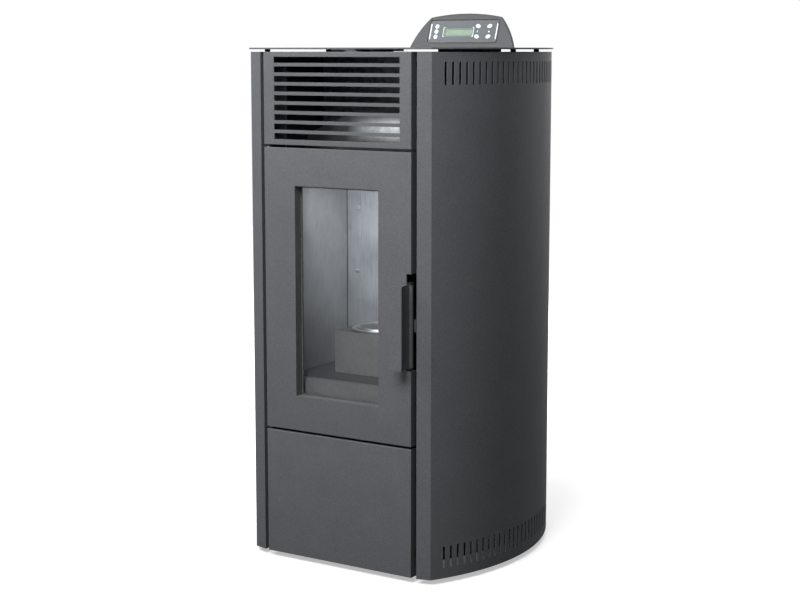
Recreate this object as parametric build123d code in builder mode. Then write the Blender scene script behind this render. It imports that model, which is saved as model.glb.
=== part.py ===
"""A pellet stove with a barrel-shaped steel casing, a glazed fire door and a lid for the pellets.

Millimetres. The front faces -Y, +X is to the right seen from the front, +Z is up. The origin is
on the floor under the middle of the casing.
"""

from build123d import *
from math import cos, degrees, pi, radians, sin, sqrt
import os

os.makedirs("parts", exist_ok=True)

# ---------------------------------------------------------------------------------------------
# Driving dimensions
# ---------------------------------------------------------------------------------------------

# Fits and clearances
seat_gap = 0.3            # between curved or separate pieces that sit against each other
shaft_gap = 0.05          # radial, a pin or a shaft in its hole
running_gap = 3.0         # between a turning wheel and its housing

# Casing: two sheets bent round the sides, flat at the front and at the rear
floor_gap = 10.0
casing_height = 1000.0
casing_width = 560.0
casing_depth = 500.0
corner_outset = 27.8      # from a pilaster's inner edge out to its bend
corner_setback = 6.5      # how far the bends lie behind the pilasters' inner edges
panel_side_gap = 9.7      # dark gap beside the front panels
casing_sheet = 2.0
pilaster_return = 26.0    # depth of the fold beside the front panels
rear_lap = 20.0           # the strip at the rear corner that the rear sheet is screwed to

# Vent slots in the sides
vent_count = 30
vent_pitch = 15.8         # along the curve
vent_width = 5.0
vent_height = 43.0
vent_top_margin = 18.0
vent_bottom_margin = 20.0

# Front panels, from the top down: grille, door, lower panel
panel_width = 336.0
panel_proud = 4.0         # how far they stand in front of the pilasters
panel_depth = 18.0
panel_sheet = 2.0
bend_radius = 1.5
grille_height = 179.3
panel_gap = 5.2
door_height = 558.4
lower_bottom_gap = 1.0

# Grille slots
grille_slots = 9
grille_slot_width = 286.0
grille_slot_height = 11.6
grille_pitch = 18.4
grille_top_margin = 9.5

# Door window and the parts behind it
window_width = 191.4
window_height = 415.0
window_top = 73.7         # from the door's top edge to the window
reveal_depth = 20.0       # from the door's face to the glass
glass_thickness = 4.0
glass_overlap = 9.0
tape_thickness = 1.0
tape_inset = 3.5          # how far the glass tape shows inside the window
door_frame_thickness = 3.0
door_frame_margin = 8.0   # from the door's edge to the inner frame's edge
rope_inset = 18.0         # rope's centre line inside the door's edge

# Door pivots
pivot_x_inset = 6.0       # pin's axis inside the door's left edge
pivot_y_inset = 8.0       # pin's axis behind the door's face
pivot_diameter = 6.0
pivot_length = 14.0
pivot_plate = 3.0
pivot_boss_diameter = 12.0

# Handle, a folded lever on an upright pin
handle_top = 431.8        # below the casing's top
handle_height = 159.6
handle_width = 25.0
handle_reach = 33.0       # from the door's face to the handle's front
handle_sheet = 3.0
handle_notch = 10.0       # depth of the cut in the door's edge
handle_notch_margin = 5.0
pin_inset = 6.5            # the handle's pin, inside the door's edge
handle_pin_diameter = 6.0
handle_pin_setback = 9.0  # behind the door's face
latch_gap = 0.5           # between the hook's nose and the keeper's lip

# Firebox
firebox_half_width = 135.0
firebox_front = 34.0      # from the casing's front edge to the front flange
firebox_depth = 207.0
firebox_sheet = 3.0
hearth_rise = 102.2       # from the door's lower edge up to the hearth plate's face
firebox_drop = 40.5       # from the door's upper edge down to the firebox's top
liner_thickness = 2.0
hearth_plate = 3.0
drawer_front_setback = 24.0
drawer_height = 34.0
drawer_sheet = 1.5

# Burn pot and its support
support_half_width = 73.5
support_height = 85.1
support_front = 100.0     # from the casing's front edge
support_depth = 118.0
support_sheet = 3.0
pot_radius = 60.0
pot_wall = 4.0
pot_depth = 62.0
pot_rim_height = 7.0
pot_flange = 13.0
pot_centre = 160.0        # from the casing's front edge
pot_collar_height = 7.0
pot_flange_edge = 3.5

# Top of the stove
cover_sheet = 2.0
top_gap = 5.0
top_thickness = 3.0
top_overhang = 3.0
spacer_radius = 5.5

# Pellet lid, collar and hopper
mouth_left = -190.0
mouth_width = 100.0
mouth_front = 12.0
mouth_depth = 90.0
hopper_sheet = 1.5
hopper_width = 225.0
hopper_length = 200.0
funnel_height = 132.0
hopper_throat = 60.0
throat_rise = 138.7         # above the hearth plate
lid_gap = 1.5
lid_lap = 8.0
lid_barrel_radius = 3.5
lid_pin_radius = 1.5
lid_seal_thickness = 3.0

# Control panel on the top: a moulded dome that leans back
console_x = 108.0
console_front = 36.0      # the face's foot, behind the casing's middle
console_half_base = 122.5
console_half_middle = 101.0
console_half_top = 82.5
console_middle_height = 44.0
console_corner_height = 67.0
console_apex_height = 75.0
console_lean = 20.0       # degrees back from upright
console_depth = 62.0
console_back_share = 0.76  # size of the housing's rear end, against its face
console_edge_radius = 4.0
console_wall = 3.0
recess_width = 160.0
recess_height = 50.0
recess_radius = 7.0
recess_foot = 9.5         # from the foot of the face, along it
recess_depth = 1.6
membrane_thickness = 1.5
lcd_width = 60.0
lcd_height = 11.0
lcd_shift = -9.5
lcd_drop = 2.0
small_key_radius = 4.5
small_key_shift = -62.0
key_rise = 11.0
leaf_key_width = 11.0
leaf_key_height = 8.0
leaf_key_turn = 20.0
leaf_key_near = 32.5
leaf_key_far = 58.5
key_proud = 0.6
key_travel = 0.6
key_gap = 0.15
key_stem_radius = 1.5

# ---------------------------------------------------------------------------------------------
# Levels and positions worked out from the driving dimensions
# ---------------------------------------------------------------------------------------------

casing_bottom = floor_gap
casing_top = casing_bottom + casing_height
half_width = casing_width / 2
front_opening = panel_width + 2 * panel_side_gap
corner_width = front_opening + 2 * corner_outset
half_depth = casing_depth / 2
front_y = -half_depth
rear_y = half_depth
corner_x = corner_width / 2
corner_y = half_depth - corner_setback
side_bow = half_width - corner_x
side_radius = (corner_y**2 + side_bow**2) / (2 * side_bow)
side_centre_x = half_width - side_radius
inner_edge_x = front_opening / 2
lap_y = rear_y - casing_sheet - seat_gap

panel_front = front_y - panel_proud
panel_back = panel_front + panel_depth
grille_bottom = casing_top - grille_height
door_top = grille_bottom - panel_gap
door_bottom = door_top - door_height
lower_top = door_bottom - panel_gap
lower_bottom = casing_bottom + lower_bottom_gap
window_centre_z = door_top - window_top - window_height / 2
door_centre_z = (door_top + door_bottom) / 2

glass_front = panel_front + reveal_depth
glass_back = glass_front + glass_thickness
firebox_face = front_y + firebox_front
rope_x = panel_width / 2 - rope_inset
rope_z = door_height / 2 - rope_inset

pivot_x = -panel_width / 2 + pivot_x_inset
pivot_y = panel_front + pivot_y_inset

firebox_back = firebox_face + firebox_depth
hearth_top = door_bottom + hearth_rise
firebox_top = door_top - firebox_drop
drawer_top = hearth_top - hearth_plate - seat_gap
drawer_bottom = hearth_top - drawer_height
drawer_front = front_y + drawer_front_setback
firebox_bottom = drawer_bottom - seat_gap - firebox_sheet
support_top = hearth_top + support_height
support_y = front_y + support_front
pot_y = front_y + pot_centre

cover_bottom = casing_top - cover_sheet
plate_bottom = casing_top + top_gap
plate_top = plate_bottom + top_thickness
mouth_x = mouth_left + mouth_width / 2
mouth_y = mouth_front + mouth_depth / 2
mouth_back = mouth_front + mouth_depth
throat_height = hearth_top + throat_rise
hopper_funnel_top = throat_height + funnel_height


# ---------------------------------------------------------------------------------------------
# Casing
# ---------------------------------------------------------------------------------------------


def side_x(y, inset=0.0):
    """How far the bowed side lies from the middle at depth y, less an inset from its outside."""
    return side_centre_x + sqrt((side_radius - inset) ** 2 - y**2)


def barrel_outline(inset):
    """The casing's plan inside a with BuildLine block, drawn in from the outside by an inset."""
    flank_y = corner_y - inset
    flank_x = side_x(flank_y, inset)
    end_y = half_depth - inset
    right = ThreePointArc((flank_x, -flank_y), (half_width - inset, 0), (flank_x, flank_y))
    rear_right = Line(right @ 1, (inner_edge_x, end_y))
    rear = Line(rear_right @ 1, (-inner_edge_x, end_y))
    Line(rear @ 1, (-flank_x, flank_y))
    left = ThreePointArc((-flank_x, flank_y), (-half_width + inset, 0), (-flank_x, -flank_y))
    front_left = Line(left @ 1, (-inner_edge_x, -end_y))
    front = Line(front_left @ 1, (inner_edge_x, -end_y))
    Line(front @ 1, right @ 0)


# One sheet makes a pilaster, the bowed side and the rear corner
with BuildPart() as sheet_blank:
    with BuildSketch(Plane.XY.offset(casing_bottom)):
        with BuildLine():
            fold = Line((inner_edge_x, front_y + pilaster_return), (inner_edge_x, front_y))
            pilaster = Line(fold @ 1, (corner_x, -corner_y))
            bow = ThreePointArc(pilaster @ 1, (half_width, 0), (corner_x, corner_y))
            rear_strip = Line(bow @ 1, (inner_edge_x, rear_y))
            inner_y = half_depth - casing_sheet
            inner_bow_y = corner_y - casing_sheet
            inner_bow_x = side_x(inner_bow_y, casing_sheet)
            lap = Polyline(
                rear_strip @ 1,
                (inner_edge_x, lap_y),
                (inner_edge_x - rear_lap, lap_y),
                (inner_edge_x - rear_lap, lap_y - casing_sheet),
                (inner_edge_x + casing_sheet, lap_y - casing_sheet),
                (inner_bow_x, inner_bow_y),
            )
            inner_bow = ThreePointArc(
                lap @ 1, (half_width - casing_sheet, 0), (inner_bow_x, -inner_bow_y)
            )
            front_inner = Line(inner_bow @ 1, (inner_edge_x + casing_sheet, -inner_y))
            fold_inner = Line(
                front_inner @ 1, (inner_edge_x + casing_sheet, front_y + pilaster_return)
            )
            Line(fold_inner @ 1, fold @ 0)
        make_face()
    extrude(amount=casing_height)
    vent_angle = degrees(vent_pitch / side_radius)
    top_band = casing_top - vent_top_margin - vent_height / 2
    bottom_band = casing_bottom + vent_bottom_margin + vent_height / 2
    for band_z in (top_band, bottom_band):
        for i in range(vent_count):
            turn = radians(vent_angle * (i - (vent_count - 1) / 2))
            outward = Vector(cos(turn), sin(turn), 0)
            spot = Vector(side_centre_x, 0, band_z) + outward * (side_radius - casing_sheet / 2)
            with BuildSketch(Plane(origin=spot, x_dir=(0, 0, 1), z_dir=outward)):
                SlotOverall(vent_height, vent_width)
    extrude(amount=casing_sheet * 2, both=True, mode=Mode.SUBTRACT)

# Floor pan, a plate with its rim folded up inside the casing, clear of the rear laps
rear_notch_width = corner_width
rear_notch_y = corner_y - casing_sheet - seat_gap
pan_inset = casing_sheet + seat_gap
pan_lift = 6.0
pan_rim = 30.0
pan_sheet = 2.0
pan_bottom = casing_bottom + pan_lift
pan_top = pan_bottom + pan_sheet
foot_x = 150.0
foot_y = 190.0
foot_thread = 10.0
with BuildPart() as base_pan:
    with BuildSketch(Plane.XY.offset(pan_bottom)):
        with BuildLine():
            barrel_outline(pan_inset)
        make_face()
        with Locations((0, front_y + pan_inset)):
            Rectangle(front_opening + 2 * pan_inset, 2 * pilaster_return, mode=Mode.SUBTRACT)
        with Locations((0, rear_y)):
            Rectangle(rear_notch_width, 2 * (rear_y - rear_notch_y), mode=Mode.SUBTRACT)
    extrude(amount=pan_rim)
    offset(amount=-pan_sheet, openings=base_pan.faces().sort_by(Axis.Z)[-1])
    with Locations((0, 0, pan_bottom)):
        with GridLocations(2 * foot_x, 2 * foot_y, 2, 2):
            Hole(foot_thread / 2 + shaft_gap, depth=pan_sheet * 2)

# Levelling feet: a broad pad, a threaded stem, one nut under the pan and one above it
pad_radius = 20.0
pad_height = 5.0
nut_across_flats = 16.0
nut_height = 6.0
stem_above_pan = 22.0
with BuildPart() as levelling_feet:
    with BuildSketch(Plane.XZ):
        with BuildLine():
            Polyline(
                (0, 0),
                (pad_radius, 0),
                (pad_radius, pad_height),
                (nut_across_flats / 2, casing_bottom),
                (nut_across_flats / 2, pan_bottom),
                (foot_thread / 2, pan_bottom),
                (foot_thread / 2, pan_top + stem_above_pan),
                (0, pan_top + stem_above_pan),
                close=True,
            )
        make_face()
    revolve(axis=Axis.Z)
foot = levelling_feet.part
with BuildPart() as levelling_feet:
    with GridLocations(2 * foot_x, 2 * foot_y, 2, 2):
        add(foot)

with BuildPart() as foot_nuts:
    with BuildSketch(Plane.XY.offset(pan_top)):
        with GridLocations(2 * foot_x, 2 * foot_y, 2, 2):
            RegularPolygon(nut_across_flats / 2, 6, major_radius=False)
            Circle(foot_thread / 2 + shaft_gap, mode=Mode.SUBTRACT)
    extrude(amount=nut_height)

# Rear sheet between the rear corners, with louvres and the holes for what comes through it
rear_sheet_gap = 0.4
rear_width = front_opening - 2 * rear_sheet_gap
flue_diameter = 80.0
flue_z = 205.0
flue_x = 0.0
intake_diameter = 50.0
intake_wall = 2.0
intake_x = 108.0
intake_z = 175.0
inlet_x = 138.0
inlet_z = 90.0
inlet_width = 27.0
inlet_height = 47.0
reset_x = -138.0
reset_z = 90.0
reset_thread = 14.0
louvre_width = 60.0
louvre_height = 6.0
louvre_rows = 6
louvre_pitch = 16.0
louvre_z = 700.0
louvre_x = 85.0
pipe_gap = 1.0
screw_radius = 2.0
screw_head_radius = 4.0
screw_head_height = 2.2
screw_length = 8.0
rear_screw_x = inner_edge_x - rear_lap / 2
rear_screw_pitch = 235.0
rear_screw_rows = 5
with BuildPart() as rear_panel:
    with BuildSketch(Plane.XZ.offset(-rear_y)):
        with Locations((0, (casing_bottom + casing_top) / 2)):
            Rectangle(rear_width, casing_height)
        with Locations((flue_x, flue_z)):
            Circle(flue_diameter / 2 + pipe_gap, mode=Mode.SUBTRACT)
        with Locations((intake_x, intake_z)):
            Circle(intake_diameter / 2 + pipe_gap, mode=Mode.SUBTRACT)
        with Locations((inlet_x, inlet_z)):
            Rectangle(inlet_width + seat_gap, inlet_height + seat_gap, mode=Mode.SUBTRACT)
        with Locations((reset_x, reset_z)):
            Circle(reset_thread / 2 + shaft_gap, mode=Mode.SUBTRACT)
        with Locations((0, louvre_z)):
            with GridLocations(2 * louvre_x, louvre_pitch, 2, louvre_rows):
                SlotOverall(louvre_width, louvre_height, mode=Mode.SUBTRACT)
        with Locations((0, (casing_bottom + casing_top) / 2)):
            with GridLocations(2 * rear_screw_x, rear_screw_pitch, 2, rear_screw_rows):
                Circle(screw_radius + shaft_gap, mode=Mode.SUBTRACT)
    extrude(amount=casing_sheet)

# Holes for the same screws in the laps of the side panels
with BuildPart() as screw_holes:
    with BuildSketch(Plane.XZ.offset(-rear_y - 1)):
        with Locations((0, (casing_bottom + casing_top) / 2)):
            with GridLocations(2 * rear_screw_x, rear_screw_pitch, 2, rear_screw_rows):
                Circle(screw_radius + shaft_gap)
    extrude(amount=screw_length + 4)
with BuildPart() as right_side_panel:
    add(sheet_blank.part)
    add(screw_holes.part, mode=Mode.SUBTRACT)
with BuildPart() as left_side_panel:
    mirror(right_side_panel.part, about=Plane.YZ)

# ---------------------------------------------------------------------------------------------
# Front: posts, panels and clips
# ---------------------------------------------------------------------------------------------

post_sheet = 2.0
post_lap = 10.0            # how far the post reaches along the pilaster's fold
post_flange = 35.0
flange_lap = 12.0          # firebox flange beyond the rope's centre line
post_bottom = pan_bottom + pan_rim + seat_gap
post_outer_x = inner_edge_x - seat_gap
post_front = front_y + pilaster_return - post_lap
post_flange_front = firebox_face + firebox_sheet + seat_gap
with BuildPart() as right_front_post:
    with BuildSketch(Plane.XY.offset(post_bottom)):
        with BuildLine():
            Polyline(
                (post_outer_x, post_front),
                (post_outer_x, post_flange_front + post_sheet),
                (post_outer_x - post_flange, post_flange_front + post_sheet),
                (post_outer_x - post_flange, post_flange_front),
                (post_outer_x - post_sheet, post_flange_front),
                (post_outer_x - post_sheet, post_front),
                close=True,
            )
        make_face()
    extrude(amount=cover_bottom - seat_gap - post_bottom)

with BuildPart() as left_front_post:
    mirror(right_front_post.part, about=Plane.YZ)


def box_between(low, high, mode=Mode.ADD):
    """A block between two opposite corners, in the part that is being built."""
    size = [high[i] - low[i] for i in range(3)]
    middle = [(high[i] + low[i]) / 2 for i in range(3)]
    with Locations(Vector(*middle)):
        Box(*size, mode=mode)


def folded_panel(bottom, top):
    """A front panel with its four edges folded back, in the part that is being built."""
    with Locations((0, (panel_front + panel_back) / 2, (bottom + top) / 2)):
        tray = Box(panel_width, panel_depth, top - bottom)
    front_face = tray.faces().sort_by(Axis.Y)[0]
    fillet(front_face.edges(), bend_radius)


# Grille: nine slots cut in the upper front panel
with BuildPart() as grille_panel:
    folded_panel(grille_bottom, casing_top)
    offset(amount=-panel_sheet, openings=grille_panel.faces().sort_by(Axis.Y)[-1])
    middle_slot = casing_top - grille_top_margin - grille_slot_height / 2
    middle_slot -= grille_pitch * (grille_slots - 1) / 2
    with BuildSketch(Plane.XZ.offset(-panel_front)):
        with Locations((0, middle_slot)):
            with GridLocations(grille_pitch, grille_pitch, 1, grille_slots):
                Rectangle(grille_slot_width, grille_slot_height)
    extrude(amount=panel_sheet * 2, both=True, mode=Mode.SUBTRACT)

with BuildPart() as lower_panel:
    folded_panel(lower_bottom, lower_top)
    offset(amount=-panel_sheet, openings=lower_panel.faces().sort_by(Axis.Y)[-1])

# Angle clips carry the two fixed panels on the posts
clip_height = 22.0
clip_inset = 26.0
clip_sheet = 2.0
clip_foot = 14.0
clip_x = panel_width / 2 - panel_sheet - seat_gap
clip_front = panel_front + panel_sheet + seat_gap
clip_back = post_flange_front - seat_gap
with BuildPart() as panel_clips:
    for level in (
        casing_top - panel_sheet - clip_inset,
        grille_bottom + clip_inset,
        lower_top - clip_inset,
        lower_bottom + pan_rim + clip_inset,
    ):
        for side in (-1, 1):
            with BuildSketch(Plane.XY.offset(level - clip_height / 2)):
                with BuildLine():
                    Polyline(
                        (side * clip_x, clip_front),
                        (side * clip_x, clip_back),
                        (side * (clip_x - clip_foot), clip_back),
                        (side * (clip_x - clip_foot), clip_back - clip_sheet),
                        (side * (clip_x - clip_sheet), clip_back - clip_sheet),
                        (side * (clip_x - clip_sheet), clip_front),
                        close=True,
                    )
                make_face()
            extrude(amount=clip_height)

# ---------------------------------------------------------------------------------------------
# Fire door
# ---------------------------------------------------------------------------------------------

handle_top_z = casing_top - handle_top
handle_bottom_z = handle_top_z - handle_height
handle_z = (handle_top_z + handle_bottom_z) / 2
notch_top = handle_top_z + 4 * handle_notch_margin
notch_bottom = handle_bottom_z - handle_notch_margin
notch_x = panel_width / 2 - handle_notch

# Door skin: a folded tray with the window's reveal turned in and a notch for the handle
with BuildPart() as door_skin:
    folded_panel(door_bottom, door_top)
    offset(amount=-panel_sheet, openings=door_skin.faces().sort_by(Axis.Y)[-1])
    reveal_end = glass_front - tape_thickness - seat_gap
    with BuildSketch(Plane.XZ.offset(-panel_front)):
        with Locations((0, window_centre_z)):
            Rectangle(window_width + 2 * panel_sheet, window_height + 2 * panel_sheet)
    extrude(amount=-(reveal_end - panel_front))
    with BuildSketch(Plane.XZ.offset(-panel_front)):
        with Locations((0, window_centre_z)):
            Rectangle(window_width, window_height)
    extrude(amount=-reveal_depth * 2, mode=Mode.SUBTRACT)
    box_between(
        (notch_x, panel_front - 1, notch_bottom),
        (panel_width, panel_back + 1, notch_top),
        mode=Mode.SUBTRACT,
    )
    with BuildSketch(Plane.XY.offset(door_bottom - 1)):
        with Locations((pivot_x, pivot_y)):
            Circle(pivot_diameter / 2 + shaft_gap)
    extrude(amount=door_height + 2, mode=Mode.SUBTRACT)

# Glass, the tape in front of it and the frame that clamps it
glass_width = window_width + 2 * glass_overlap
glass_height = window_height + 2 * glass_overlap
with BuildPart() as door_glass:
    with BuildSketch(Plane.XZ.offset(-glass_front)):
        with Locations((0, window_centre_z)):
            Rectangle(glass_width, glass_height)
    extrude(amount=-glass_thickness)

with BuildPart() as glass_tape:
    with BuildSketch(Plane.XZ.offset(-(glass_front - tape_thickness))):
        with Locations((0, window_centre_z)):
            Rectangle(glass_width, glass_height)
            Rectangle(
                window_width - 2 * tape_inset,
                window_height - 2 * tape_inset,
                mode=Mode.SUBTRACT,
            )
    extrude(amount=-(tape_thickness - shaft_gap))

# The frame behind the glass stands on studs that reach forward to the skin
door_frame_width = panel_width - 2 * door_frame_margin
door_frame_height = door_height - 2 * door_frame_margin
door_frame_front = glass_back + shaft_gap
door_frame_back = door_frame_front + door_frame_thickness
stud_radius = 4.0
stud_front = panel_front + panel_sheet + seat_gap
stud_levels = (
    door_top - 1.6 * rope_inset,
    handle_top_z + 3 * rope_inset,
    door_bottom + 1.6 * rope_inset,
)
with BuildPart() as door_frame:
    with BuildSketch(Plane.XZ.offset(-door_frame_front)):
        with Locations((0, door_centre_z)):
            Rectangle(door_frame_width, door_frame_height)
        with Locations((0, window_centre_z)):
            Rectangle(
                window_width + 2 * seat_gap,
                window_height + 2 * seat_gap,
                mode=Mode.SUBTRACT,
            )
    extrude(amount=-door_frame_thickness)
    with BuildSketch(Plane.XZ.offset(-stud_front)):
        for level in stud_levels:
            with Locations((-rope_x, level), (rope_x, level)):
                Circle(stud_radius)
    extrude(amount=-(door_frame_front - stud_front))

# Fibre rope between the door frame and the firebox flange
rope_diameter = firebox_face - door_frame_back - seat_gap - shaft_gap
rope_y = door_frame_back + shaft_gap + rope_diameter / 2
rope_corner = 30.0
with BuildPart() as door_rope:
    with BuildLine(Plane.XZ.offset(-rope_y)) as rope_path:
        FilletPolyline(
            (-rope_x, door_centre_z - rope_z),
            (rope_x, door_centre_z - rope_z),
            (rope_x, door_centre_z + rope_z),
            (-rope_x, door_centre_z + rope_z),
            radius=rope_corner,
            close=True,
        )
    rope_wire = rope_path.wires()[0]
    with BuildSketch(Plane(origin=rope_wire @ 0, z_dir=rope_wire % 0)):
        Circle(rope_diameter / 2)
    sweep(path=rope_wire)

# Pivot brackets on the left post, in the joints above and below the door, and their pins
bracket_tab = 12.0
bracket_width = 30.0
bracket_back = post_flange_front - seat_gap
bracket_left = -post_outer_x + post_sheet + seat_gap
joint_levels = ((door_top + grille_bottom) / 2, (door_bottom + lower_top) / 2)
with BuildPart() as pivot_brackets:
    for level, up in zip(joint_levels, (1, -1)):
        with BuildSketch(Plane.XY.offset(level - pivot_plate / 2)):
            with BuildLine():
                Polyline(
                    (bracket_left, bracket_back),
                    (bracket_left + bracket_width, bracket_back),
                    (pivot_x + pivot_boss_diameter / 2, pivot_y),
                    (pivot_x - pivot_boss_diameter / 2, pivot_y),
                    (bracket_left, post_front),
                    close=True,
                )
            make_face()
            with Locations((pivot_x, pivot_y)):
                Circle(pivot_boss_diameter / 2)
                Circle(pivot_diameter / 2 + shaft_gap, mode=Mode.SUBTRACT)
        extrude(amount=pivot_plate)
        tab_z = level + up * (pivot_plate + bracket_tab) / 2
        with Locations((bracket_left + bracket_width / 2, bracket_back - pivot_plate / 2, tab_z)):
            Box(bracket_width, pivot_plate, bracket_tab)

washer_height = (panel_gap - pivot_plate) / 2 - seat_gap
with BuildPart() as pivot_pins:
    for level, up in zip(joint_levels, (1, -1)):
        outer = level + up * pivot_plate / 2
        inner = outer - up * pivot_length
        with BuildSketch(Plane.XY.offset(min(outer, inner))):
            with Locations((pivot_x, pivot_y)):
                Circle(pivot_diameter / 2)
        extrude(amount=pivot_length)
        step = level - up * pivot_plate / 2
        with BuildSketch(Plane.XY.offset(min(step, step - up * washer_height))):
            with Locations((pivot_x, pivot_y)):
                Circle(pivot_boss_diameter / 2)
        extrude(amount=washer_height)

# ---------------------------------------------------------------------------------------------
# Door handle and its latch
# ---------------------------------------------------------------------------------------------

pin_x = panel_width / 2 - pin_inset
pin_y = panel_front + handle_pin_setback
barrel_radius = handle_pin_diameter / 2 + 2.5
handle_front = panel_front - handle_reach
handle_right = panel_width / 2 - 1.0
handle_left = handle_right - handle_width
keeper_sheet = 2.0
keeper_height = 34.0
keeper_lip = 5.0
hook_height = 24.0
hook_thickness = 5.0
keeper_x = post_outer_x - post_sheet - seat_gap
keeper_lip_x = keeper_x - keeper_lip
keeper_lip_y = pin_y + barrel_radius + keeper_sheet
hook_nose_x = keeper_lip_x - latch_gap

# The lever: a face to grip, a hollowed side that passes the door's edge, a barrel and a hook
with BuildPart() as handle_lever:
    with BuildSketch(Plane.XY.offset(handle_bottom_z)):
        with BuildLine():
            grip = Line((handle_left, handle_front), (handle_right - bend_radius, handle_front))
            bend = RadiusArc(grip @ 1, (handle_right, handle_front + bend_radius), -bend_radius)
            hollow = ThreePointArc(
                bend @ 1,
                (pin_x + handle_sheet / 2 - 1.0, (handle_front + pin_y) / 2),
                (pin_x + handle_sheet / 2, pin_y),
            )
            across = Line(hollow @ 1, (pin_x - handle_sheet / 2, pin_y))
            hollow_inner = ThreePointArc(
                across @ 1,
                (pin_x - handle_sheet / 2 - 1.0, (handle_front + pin_y) / 2 + 3.0),
                (handle_right - handle_sheet, handle_front + handle_sheet),
            )
            back = Line(hollow_inner @ 1, (handle_left, handle_front + handle_sheet))
            Line(back @ 1, grip @ 0)
        make_face()
        with Locations((pin_x, pin_y)):
            Circle(barrel_radius)
    extrude(amount=handle_height)
    with BuildSketch(Plane.XY.offset(handle_z - hook_height / 2)):
        with BuildLine():
            hook_back = keeper_lip_y + seat_gap + hook_thickness
            Polyline(
                (pin_x - hook_thickness / 2, pin_y),
                (pin_x - hook_thickness / 2, hook_back),
                (hook_nose_x, hook_back),
                (hook_nose_x, keeper_lip_y + seat_gap),
                (pin_x + hook_thickness / 2, keeper_lip_y + seat_gap),
                (pin_x + hook_thickness / 2, pin_y),
                close=True,
            )
        make_face()
    extrude(amount=hook_height)
    with BuildSketch(Plane.XY.offset(handle_bottom_z - 1)):
        with Locations((pin_x, pin_y)):
            Circle(handle_pin_diameter / 2 + shaft_gap)
    extrude(amount=handle_height + 2, mode=Mode.SUBTRACT)

# A plate behind the skin carries the ears that hold the lever's pin
ear_sheet = 3.0
ear_left = notch_x - 26.0
plate_front = panel_front + panel_sheet + seat_gap
plate_right = pin_x - barrel_radius - running_gap / 2
ear_back = pin_y + barrel_radius
lower_ear = handle_bottom_z - seat_gap - ear_sheet
upper_ear = handle_top_z + seat_gap
with BuildPart() as handle_bracket:
    box_between(
        (ear_left, plate_front, lower_ear), (plate_right, plate_front + 2.0, upper_ear + ear_sheet)
    )
    for level in (lower_ear, upper_ear):
        box_between(
            (ear_left, plate_front, level),
            (pin_x + barrel_radius, ear_back, level + ear_sheet),
        )
    with BuildSketch(Plane.XY.offset(lower_ear - 1)):
        with Locations((pin_x, pin_y)):
            Circle(handle_pin_diameter / 2 + shaft_gap)
    extrude(amount=handle_height + 4 * ear_sheet, mode=Mode.SUBTRACT)

with BuildPart() as handle_pin:
    with BuildSketch(Plane.XY.offset(lower_ear)):
        with Locations((pin_x, pin_y)):
            Circle(handle_pin_diameter / 2)
    extrude(amount=upper_ear + ear_sheet - lower_ear)

# Keeper on the right post, with the lip that the hook passes behind
with BuildPart() as latch_keeper:
    with BuildSketch(Plane.XY.offset(handle_z - keeper_height / 2)):
        with BuildLine():
            Polyline(
                (keeper_x, keeper_lip_y - keeper_sheet),
                (keeper_x, post_flange_front - seat_gap),
                (keeper_x - keeper_sheet, post_flange_front - seat_gap),
                (keeper_x - keeper_sheet, keeper_lip_y),
                (keeper_lip_x, keeper_lip_y),
                (keeper_lip_x, keeper_lip_y - keeper_sheet),
                close=True,
            )
        make_face()
    extrude(amount=keeper_height)

# ---------------------------------------------------------------------------------------------
# Firebox
# ---------------------------------------------------------------------------------------------

liner_back = firebox_half_width + liner_thickness
wall_inner = liner_back + seat_gap
wall_outer = wall_inner + firebox_sheet
back_inner = firebox_back + liner_thickness + seat_gap
back_outer = back_inner + firebox_sheet
liner_top = firebox_top - seat_gap
chute_width = 56.0
chute_opening = 48.0       # upright height of the sloping chute
chute_front = firebox_back - 5.0
chute_low_z = support_top + 2.0
chute_bottom = chute_low_z + (firebox_back - chute_front) - seat_gap
chute_top = chute_low_z + chute_opening + (back_outer - chute_front) + seat_gap
chute_z = (chute_bottom + chute_top) / 2
chute_height = chute_top - chute_bottom - 2 * seat_gap
exhaust_diameter = 56.0
exhaust_x = -66.0
port_z = hearth_top + 42.0
igniter_radius = 5.0
igniter_z = support_top - 42.0
liner_screw_x = 108.0
liner_screw_z = hearth_top + 252.7
liner_screw_pitch = 133.0

# Welded box, open at the front inside a flange
with BuildPart() as firebox_shell:
    box_between(
        (-wall_outer, firebox_face, firebox_bottom),
        (wall_outer, back_outer, firebox_top + firebox_sheet),
    )
    box_between(
        (-wall_inner, firebox_face - 1, firebox_bottom + firebox_sheet),
        (wall_inner, back_inner, firebox_top),
        mode=Mode.SUBTRACT,
    )
    with BuildSketch(Plane.XZ.offset(-firebox_face)):
        with Locations((0, door_centre_z)):
            Rectangle(2 * (rope_x + flange_lap), 2 * (rope_z + flange_lap))
        with Locations((0, (firebox_bottom + firebox_sheet + firebox_top) / 2)):
            Rectangle(
                2 * wall_inner,
                firebox_top - firebox_bottom - firebox_sheet,
                mode=Mode.SUBTRACT,
            )
    extrude(amount=-firebox_sheet)
    with BuildSketch(Plane.XZ.offset(-back_inner + 1)):
        with Locations((0, chute_z)):
            Rectangle(chute_width + 2 * seat_gap, chute_height + 2 * seat_gap)
        with Locations((exhaust_x, port_z)):
            Circle(exhaust_diameter / 2)
        with Locations((intake_x, port_z)):
            Circle(intake_diameter / 2 - intake_wall)
        with Locations((0, igniter_z)):
            Circle(igniter_radius + shaft_gap)
    extrude(amount=-2 * firebox_sheet, mode=Mode.SUBTRACT)

with BuildPart() as right_liner:
    box_between(
        (firebox_half_width, firebox_face, hearth_top + seat_gap),
        (liner_back, firebox_back - liner_thickness, liner_top),
    )
with BuildPart() as left_liner:
    mirror(right_liner.part, about=Plane.YZ)

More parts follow.
